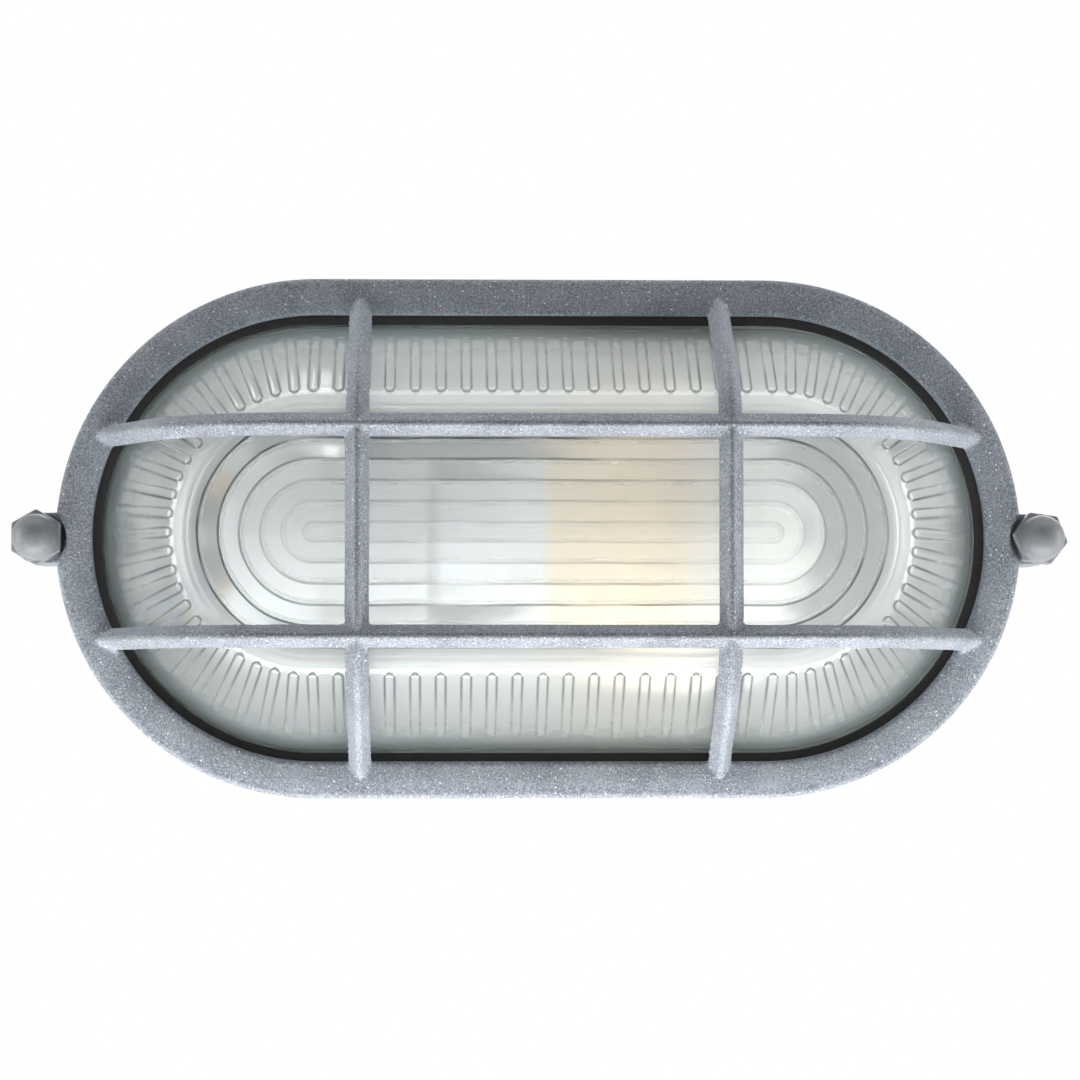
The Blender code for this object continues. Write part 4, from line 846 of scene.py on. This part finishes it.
def cast_paint(name, inside=False):
    paint = Finish(name, specular_ior_level=0.35)
    grain = paint.noise(0.45 * MM, 3.0, 0.65)
    cloud = paint.noise(9.0 * MM, 2.0)
    tone = paint.ramp(grain * 0.8 + cloud * 0.2, 0.32, 0.68)
    grey = paint.mix(tone, (0.143, 0.161, 0.190), (0.420, 0.452, 0.505))
    dots = flecks(paint, 0.50 * MM, 0.34, 0.31)
    small_dots = flecks(paint, 0.31 * MM, 0.30, 0.34)
    stars = flecks(paint, 1.2 * MM, 0.22, 0.17)
    spots = dots * 0.5 + small_dots * 0.25 + stars
    colour = paint.mix(spots.maths("MINIMUM", spots, 1.0), grey, (0.84, 0.86, 0.88))
    roughness = 0.46 + grain * 0.20
    height = grain + small_dots * 0.3
    if inside:
        radius, depth = distance_out(paint)
        white = (radius < BODY_INNER_R) * (depth > BODY_FLOOR / 2)
        colour = paint.mix(white, colour, (0.74, 0.75, 0.75))
    paint.feed("Base Color", colour)
    paint.feed("Roughness", roughness)
    paint.feed("Normal", paint.bump(height, 0.08 * MM, 0.75))
    return paint.material


def shaded_nut_paint():
    """The same grey on a turned nut: smoother and with a low gloss, and darker, which is painted
    shade.
    """
    paint = Finish("grey_nut_paint", specular_ior_level=0.45)
    grain = paint.noise(0.35 * MM, 3.0, 0.6)
    cloud = paint.noise(4.0 * MM, 2.0)
    dots = flecks(paint, 0.40 * MM, 0.20, 0.28)
    # Darker greys than on the casting: painted shade on the nuts.
    grey = paint.mix(grain * 0.7 + cloud * 0.3, (0.165, 0.175, 0.185), (0.285, 0.295, 0.31))
    paint.feed("Base Color", paint.mix(dots * 0.25, grey, (0.62, 0.63, 0.65)))
    paint.feed("Roughness", 0.36 + grain * 0.18)
    paint.feed("Normal", paint.bump(grain, 0.03 * MM, 0.6))
    return paint.material


guard_paint = cast_paint("grey_casting_paint")
body_paint = cast_paint("grey_paint_white_inside", inside=True)
shaded_nut_finish = shaded_nut_paint()
print("paint nodes", len(guard_paint.node_tree.nodes))

# %% [markdown]
# Clear glass with a faint green tint. The mould side, which faces out, is bright, and the
# plunger side, which faces the bulb, is finely matt, so that the bulb shows only as a
# soft patch of colour. A mask made from radius and depth tells the two sides apart. Over
# the matt side lies a pale veil that scatters light, darker on the shoulder and the neck.
# Round each rib and along each lens valley the glass is seen edge on, which shows as a dark
# line with a light one beside it. The mesh can't hold lines this thin, so they are painted
# into the glass: painted shade for the dark lines, a painted highlight for the light line
# beside each valley and another along the edge of the neck. The same radius and angle that
# shaped the ribs draw them here, a little wavy. Light must reach the bulb, and a renderer
# finds that path too seldom. So for shadow rays the glass is a plain tinted sheet, mixed in
# by the Light Path node.

# %% Pressed glass
GLASS_SIDE_DEPTH = GLASS_WALL / 2
MATT_ROUGHNESS = 0.35
BRIGHT_ROUGHNESS = 0.02
INNER_VEIL = 0.48
EDGE_VEIL = 0.55
PAINTED_GLINT_VEIL = 0.5
NECK_VEIL = 0.6
THROUGH_SHARE = 0.68
MILK_LIGHTNESS = 0.92
LOST_ON_SHOULDER = 0.36
LOST_AT_NECK = 0.72
PAINTED_EDGE_HIGHLIGHT = 0.5
RIB_LINE_PLACE = 0.86
RIB_LINE_STRENGTH = 0.9
LINE_WOBBLE = 0.5 * MM
PAINTED_GLINT_OFFSET = 0.75 * MM


def plunger_side(finish, radius, depth):
    """1 on the inner faces of the glass, 0 on its outer faces."""
    run, rise = SHOULDER_BOTTOM[0] - SHOULDER_TOP[0], SHOULDER_TOP[1] - SHOULDER_BOTTOM[1]
    length = math.hypot(run, rise)
    from_shoulder = ((radius - SHOULDER_BOTTOM[0]) * (rise / length)
                     + (depth - SHOULDER_BOTTOM[1]) * (run / length))
    under_shoulder = from_shoulder < -GLASS_SIDE_DEPTH
    under_front = depth < GLASS_FRONT - GLASS_SIDE_DEPTH
    within_neck = radius < NECK_R - GLASS_SIDE_DEPTH
    return under_shoulder * under_front * within_neck


def to_nearest(value, spacing):
    """Distance from a value to the nearest whole multiple of a spacing."""
    return abs(value - (value / spacing).maths("ROUND", value / spacing) * spacing)


def painted_rib_shade_lines(finish, radius):
    """1 on the outline of every rib of the shoulder, as painted shade; weaker towards the outer
    ends.
    """
    x, y, z = finish.axes()
    past_end = above(abs(x), HALF_STRAIGHT)
    angle = z.maths("ARCTAN2", z, past_end)
    on_end = abs(x) > HALF_STRAIGHT
    across_end = to_nearest(angle, math.pi / RIBS_PER_END) * radius
    across_straight = to_nearest(x, 2 * HALF_STRAIGHT / RIBS_PER_STRAIGHT)
    across = across_end * on_end + across_straight * (1.0 - on_end)
    before = above(RIB_INNER_R + RIB_HALF_WIDTH - radius, 0.0)
    after = above(radius, RIB_OUTER_R - RIB_HALF_WIDTH)
    distance = (across * across + before * before + after * after) ** 0.5
    line = 1.0 - finish.ramp(abs(distance - RIB_LINE_PLACE * RIB_HALF_WIDTH), 0.06 * MM, 0.46 * MM)
    return line * (1.0 - 0.8 * finish.ramp(radius, RIB_INNER_R + 3.0 * MM, RIB_OUTER_R))


def painted_lens_lines(finish, radius):
    """Painted shade lines in the valleys between the lens ridges, and a painted highlight line
    inside each.
    """
    wobble = (finish.noise(14.0 * MM, 2.0) - 0.5) * LINE_WOBBLE
    place = radius + wobble - LENS_INNER_R
    within = radius < LENS_INNER_R + (LENS_COUNT - 0.5) * LENS_PITCH
    # The painted lines grow weaker and stronger along their length, from noise.
    patchy_strength = 0.5 + 0.5 * finish.ramp(finish.noise(18.0 * MM, 1.0), 0.3, 0.55)
    strength = (finish.ramp(radius, 0.0, 0.8 * FRONT_EDGE_R) * 0.6 + 0.4) * within * patchy_strength
    dark_line = 1.0 - finish.ramp(to_nearest(place, LENS_PITCH), 0.14 * MM, 0.40 * MM)
    # Painted highlight: a light line just inside each valley.
    beside = to_nearest(place + PAINTED_GLINT_OFFSET, LENS_PITCH)
    light_line = 1.0 - finish.ramp(beside, 0.10 * MM, 0.50 * MM)
    return dark_line * strength, light_line * strength


def scatter(finish, colour):
    """Light thrown back and light let through in one colour, more of it let through."""
    back = finish.node("BsdfDiffuse", None, {"Color": colour}, output="BSDF")
    through = finish.node("BsdfTranslucent", None, {"Color": colour}, output="BSDF")
    return finish.node("MixShader", None, {0: THROUGH_SHARE, 1: back, 2: through}, output="Shader")


def pressed_glass():
    finish = Finish("pressed_glass", ior=1.5, transmission_weight=1.0)
    radius, depth = distance_out(finish)
    inner = plunger_side(finish, radius, depth)
    valley, painted_glint = painted_lens_lines(finish, radius)
    # Painted shade: the rib outlines and lens valleys are dark lines in the colour of the bright
    # side.
    lines = painted_rib_shade_lines(finish, radius) * RIB_LINE_STRENGTH + valley
    lines = lines.maths("MINIMUM", lines, 1.0) * (1.0 - inner)
    finish.feed("Base Color", finish.mix(lines, (0.955, 0.975, 0.98), (0.04, 0.055, 0.055)))
    finish.feed("Roughness", BRIGHT_ROUGHNESS + inner * (MATT_ROUGHNESS - BRIGHT_ROUGHNESS))
    ripple = finish.noise(3.5 * MM, 2.0)
    finish.feed("Normal", finish.bump(ripple, 0.08 * MM, 0.5))
    near_neck = finish.ramp(radius, SHOULDER_BOTTOM[0] - 5.0 * MM, NECK_R - 0.8 * MM)
    veil = inner * (INNER_VEIL + (1.0 - INNER_VEIL) * NECK_VEIL * near_neck)
    edge_veil = EDGE_VEIL * finish.ramp(radius, SHOULDER_BOTTOM[0] - 0.5 * MM, NECK_R)
    # Painted highlight: more pale scatter on the light line beside each lens valley.
    veil = veil + (1.0 - inner) * (edge_veil + PAINTED_GLINT_VEIL * painted_glint)
    on_shoulder_side = finish.ramp(radius, FRONT_EDGE_R, SHOULDER_TOP[0] + 2.0 * MM)
    lightness = MILK_LIGHTNESS - LOST_ON_SHOULDER * on_shoulder_side
    lightness = lightness * (1.0 - LOST_AT_NECK * near_neck)
    # Painted reflection: a thin light line along the edge of the neck, next to the gasket.
    painted_edge_highlight = finish.ramp(radius, NECK_R - 0.30 * MM, NECK_R - 0.10 * MM)
    lightness = lightness + PAINTED_EDGE_HIGHLIGHT * painted_edge_highlight
    dark, light = scatter(finish, (0.05, 0.09, 0.085)), scatter(finish, (0.885, 0.90, 0.90))
    milky = finish.node("MixShader", None, {0: lightness, 1: dark, 2: light}, output="Shader")
    clear = finish.node("BsdfTransparent", None, {"Color": (0.785, 0.80, 0.795)}, output="BSDF")
    shadow = finish.node("LightPath", output="Is Shadow Ray")
    solid = Signal(finish, finish.shader.outputs["BSDF"])
    veiled = finish.node("MixShader", None, {0: veil, 1: solid, 2: milky}, output="Shader")
    both = finish.node("MixShader", None, {0: shadow, 1: veiled, 2: clear}, output="Shader")
    finish.tree.links.new(both.socket, finish.output.inputs["Surface"])
    return finish.material


glass_finish = pressed_glass()
print("glass nodes", len(glass_finish.node_tree.nodes))

# %% [markdown]
# The small pieces each have a finish of their own: matt rubber with a dusty grain, white
# stove enamel, half matt porcelain, and three metals. A metal's colour is nearly even,
# and a fine grain in its roughness makes it look handled.

# %% Rubber, enamel, porcelain and metals
def rubber():
    finish = Finish("black_rubber", specular_ior_level=0.3)
    grain = finish.noise(0.5 * MM, 3.0)
    finish.feed("Base Color", finish.mix(grain, (0.024, 0.022, 0.024), (0.055, 0.051, 0.054)))
    finish.feed("Roughness", 0.55 + grain * 0.25)
    finish.feed("Normal", finish.bump(grain, 0.05 * MM, 0.6))
    return finish.material


def enamel():
    finish = Finish("white_enamel")
    peel = finish.noise(2.5 * MM, 2.0)
    finish.feed("Base Color", finish.mix(peel, (0.80, 0.805, 0.80), (0.86, 0.865, 0.86)))
    finish.feed("Roughness", 0.42 + peel * 0.12)
    finish.feed("Normal", finish.bump(peel, 0.05 * MM, 0.35))
    return finish.material


def porcelain():
    finish = Finish("matt_porcelain")
    cloud = finish.noise(5.0 * MM, 2.0)
    dots = flecks(finish, 1.1 * MM, 0.05, 0.16)
    base = finish.mix(cloud, (0.60, 0.60, 0.60), (0.68, 0.68, 0.68))
    finish.feed("Base Color", finish.mix(dots * 0.6, base, (0.30, 0.24, 0.18)))
    finish.feed("Roughness", 0.34 + cloud * 0.14)
    finish.feed("Coat Weight", 0.10 + cloud * 0.1)
    finish.feed("Normal", finish.bump(cloud, 0.08 * MM, 0.4))
    return finish.material


def metal(name, dark, light, roughness):
    finish = Finish(name, metallic=1.0)
    grain = finish.noise(0.25 * MM, 4.0, 0.7)
    cloud = finish.noise(4.0 * MM, 2.0)
    finish.feed("Base Color", finish.mix(cloud, dark, light))
    finish.feed("Roughness", roughness + grain * 0.18)
    finish.feed("Normal", finish.bump(grain, 0.02 * MM, 0.5))
    return finish.material


finishes = {
    "cast_paint": guard_paint, "clear_glass": glass_finish, "black_rubber": rubber(),
    "white_enamel": enamel(), "porcelain": porcelain(),
    "nickel": metal("nickel_plate", (0.50, 0.48, 0.43), (0.66, 0.64, 0.58), 0.22),
    "brass": metal("plain_brass", (0.58, 0.40, 0.15), (0.78, 0.58, 0.26), 0.24),
    "zinc_steel": metal("zinc_plated_steel", (0.66, 0.67, 0.69), (0.78, 0.79, 0.80), 0.32)}
print("finishes", sorted(finishes))

# %% [markdown]
# The bulb lies along the lamp with its cap in the holder. Its lower third is a white
# collar, and the globe beyond it is a warm cream. Its head is painted paler, as painted
# light on the end that faces away from the lamps. The three wires have smooth sleeves
# that are never quite clean.

# %% Bulb and wire finishes
COLLAR_END_X = 1.0 * MM
CAP_END_X = -26.0 * MM
HEAD_PAINTED_LIGHT_X = (24.0 * MM, 42.0 * MM)


def bulb_finish():
    finish = Finish("bulb_globe_and_collar", specular_ior_level=0.3)
    x, y, z = finish.axes()
    cloud = finish.noise(14.0 * MM, 2.0)
    warm = finish.mix(cloud, (0.80, 0.64, 0.46), (0.84, 0.70, 0.53))
    # Painted light: the head, which faces away from the lamps, is made paler.
    warm = finish.mix(finish.ramp(x, HEAD_PAINTED_LIGHT_X[0], HEAD_PAINTED_LIGHT_X[1]), warm, (0.83, 0.81, 0.77))
    past_collar = finish.ramp(x, COLLAR_END_X - 1.0 * MM, COLLAR_END_X + 1.0 * MM)
    body = finish.mix(past_collar, (0.76, 0.77, 0.78), warm)
    cap = 1.0 - finish.ramp(x, CAP_END_X - 0.2 * MM, CAP_END_X + 0.2 * MM)
    finish.feed("Base Color", finish.mix(cap, body, (0.62, 0.60, 0.55)))
    finish.feed("Metallic", cap)
    finish.feed("Roughness", 0.60 + cloud * 0.1 - cap * 0.36)
    return finish.material


def sleeve(name, colour, dusty):
    finish = Finish(name)
    cloud = finish.noise(3.0 * MM, 3.0)
    finish.feed("Base Color", finish.mix(cloud, colour, dusty))
    finish.feed("Roughness", 0.38 + cloud * 0.2)
    finish.feed("Normal", finish.bump(cloud, 0.03 * MM, 0.4))
    return finish.material


finishes["opal_bulb"] = bulb_finish()
finishes["brown_wire"] = sleeve("brown_sleeve", (0.07, 0.028, 0.016), (0.13, 0.055, 0.03))
finishes["blue_wire"] = sleeve("blue_sleeve", (0.015, 0.11, 0.55), (0.05, 0.17, 0.60))
finishes["earth_wire"] = sleeve("green_yellow_sleeve", (0.20, 0.42, 0.04), (0.55, 0.60, 0.05))
print("bulb nodes", len(finishes["opal_bulb"].node_tree.nodes))

# %% [markdown]
# Now each new piece takes its finish, rides on the lamp's one body, and hides the solid
# that it stands for. The solids that stay get the finish of their own slot.

# %% Dress the lamp
def dress(piece, slot, *nodes, finish=None):
    piece.data.materials.clear()
    piece.data.materials.append(finish or finishes[slot])
    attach(piece, "root")
    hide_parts(*nodes)


slots = {part["node"]: part["material_slot"] for part in frame["record"]["subparts"]}
dress(guard, "cast_paint", "guard_frame")
dress(body, "cast_paint", "housing", finish=body_paint)
for side, nut in nuts.items():
    dress(nut, "cast_paint", f"cap_nut_{side}", finish=shaded_nut_finish)
dress(glass, "clear_glass", "glass_cover")
dress(gasket, "black_rubber", "gasket")
kept = 0
for node, piece in frame["nodes"].items():
    if not piece.hide_render:
        piece.data.materials.clear()
        piece.data.materials.append(finishes[slots[node]])
        kept += 1
print("solids that stay", kept)

# %% [markdown]
# The photograph was taken from just below the middle and slightly to the left, with a
# long lens: the guard is shifted a little against the ring behind it. The camera stands
# there and turns towards the middle of the ring.

# %% Camera
CAMERA_PLACE = Vector((-0.0229, -0.855, -0.0385))
CAMERA_AIM = Vector((0.0, -0.055, -0.0005))
CAMERA_LENS = 123.0
camera_data = bpy.data.cameras.new("photo_camera")
camera_data.lens = CAMERA_LENS
camera_data.sensor_width = 36.0
camera = bpy.data.objects.new("photo_camera", camera_data)
bpy.context.scene.collection.objects.link(camera)
camera.location = CAMERA_PLACE
camera.rotation_euler = (CAMERA_AIM - CAMERA_PLACE).to_track_quat("-Z", "Y").to_euler()
bpy.context.scene.camera = camera
print("camera distance", round((CAMERA_AIM - CAMERA_PLACE).length, 3))

# %% [markdown]
# Soft studio light from a ring of lamps close to the plane of the wall. The one below is
# the strongest and makes the lower sides of the bars bright; two at the sides and one
# above fill the rest, so every bar shows its ridge. One stands behind, for views of the
# back. For camera, mirror and glass rays the surroundings are plain white; only their
# light on the object is less.

# %% Lights, floor and background
def area_light(name, place, aim, size, power):
    data = bpy.data.lights.new(name, "AREA")
    data.shape = "RECTANGLE"
    data.size, data.size_y = size
    data.energy = power
    lamp = bpy.data.objects.new(name, data)
    bpy.context.scene.collection.objects.link(lamp)
    lamp.location = place
    lamp.rotation_euler = (Vector(aim) - Vector(place)).to_track_quat("-Z", "Y").to_euler()
    lamp.visible_camera = False
    return lamp


MIDDLE = (0.0, -0.06, 0.0)
area_light("light_below", (0.0, -0.15, -0.30), MIDDLE, (0.60, 0.12), 2.45)
area_light("light_left", (-0.5, -0.09, 0.0), MIDDLE, (0.14, 0.4), 1.35)
area_light("light_right", (0.5, -0.09, 0.0), MIDDLE, (0.14, 0.4), 1.35)
area_light("light_above", (0.0, -0.12, 0.42), MIDDLE, (0.6, 0.14), 1.0)
area_light("light_behind", (0.2, 0.9, 0.35), MIDDLE, (0.8, 0.8), 6.5)

FLOOR_Z = -0.55
FLOOR_SIZE = 8.0
FLOOR_WHITENESS = 0.9
WORLD_LIGHT = 0.15


def pale_floor():
    finish = Finish("pale_floor", base_color=(0.86, 0.86, 0.86), roughness=0.8)
    path = finish.tree.nodes.new("ShaderNodeLightPath")
    rays = [Signal(finish, path.outputs[name]) for name in
            ("Is Camera Ray", "Is Glossy Ray", "Is Transmission Ray")]
    seen = rays[0] + rays[1] + rays[2]
    seen = seen.maths("MINIMUM", seen, 1.0)
    white = finish.node("Emission", None, {"Color": (1.0, 1.0, 1.0), "Strength": 1.0},
                        output="Emission")
    plain = Signal(finish, finish.shader.outputs["BSDF"])
    both = finish.node("MixShader", None, {0: seen * FLOOR_WHITENESS, 1: plain, 2: white},
                       output="Shader")
    finish.tree.links.new(both.socket, finish.output.inputs["Surface"])
    return finish.material


deselect_everything()
bpy.ops.mesh.primitive_plane_add(size=FLOOR_SIZE, location=(0.0, 0.0, FLOOR_Z))
floor = bpy.context.object
floor.name = "floor"
floor.data.materials.append(pale_floor())

world = bpy.data.worlds.new("studio")
bpy.context.scene.world = world
world.use_nodes = True
tree = world.node_tree
background = tree.nodes["Background"]
background.inputs["Color"].default_value = (1.0, 1.0, 1.0, 1.0)
path = tree.nodes.new("ShaderNodeLightPath")


def world_maths(operation, first, second):
    node = tree.nodes.new("ShaderNodeMath")
    node.operation = operation
    for socket, value in zip(node.inputs, (first, second)):
        if isinstance(value, float):
            socket.default_value = value
        else:
            tree.links.new(value, socket)
    return node.outputs[0]


seen = world_maths("ADD", path.outputs["Is Camera Ray"], path.outputs["Is Glossy Ray"])
seen = world_maths("ADD", seen, path.outputs["Is Transmission Ray"])
seen = world_maths("MINIMUM", seen, 1.0)
extra = world_maths("MULTIPLY", seen, 1.0 - WORLD_LIGHT)
strength = world_maths("ADD", extra, WORLD_LIGHT)
tree.links.new(strength, background.inputs["Strength"])
bpy.context.scene.view_settings.view_transform = "Standard"

# %% Update the scene
bpy.context.view_layer.update()
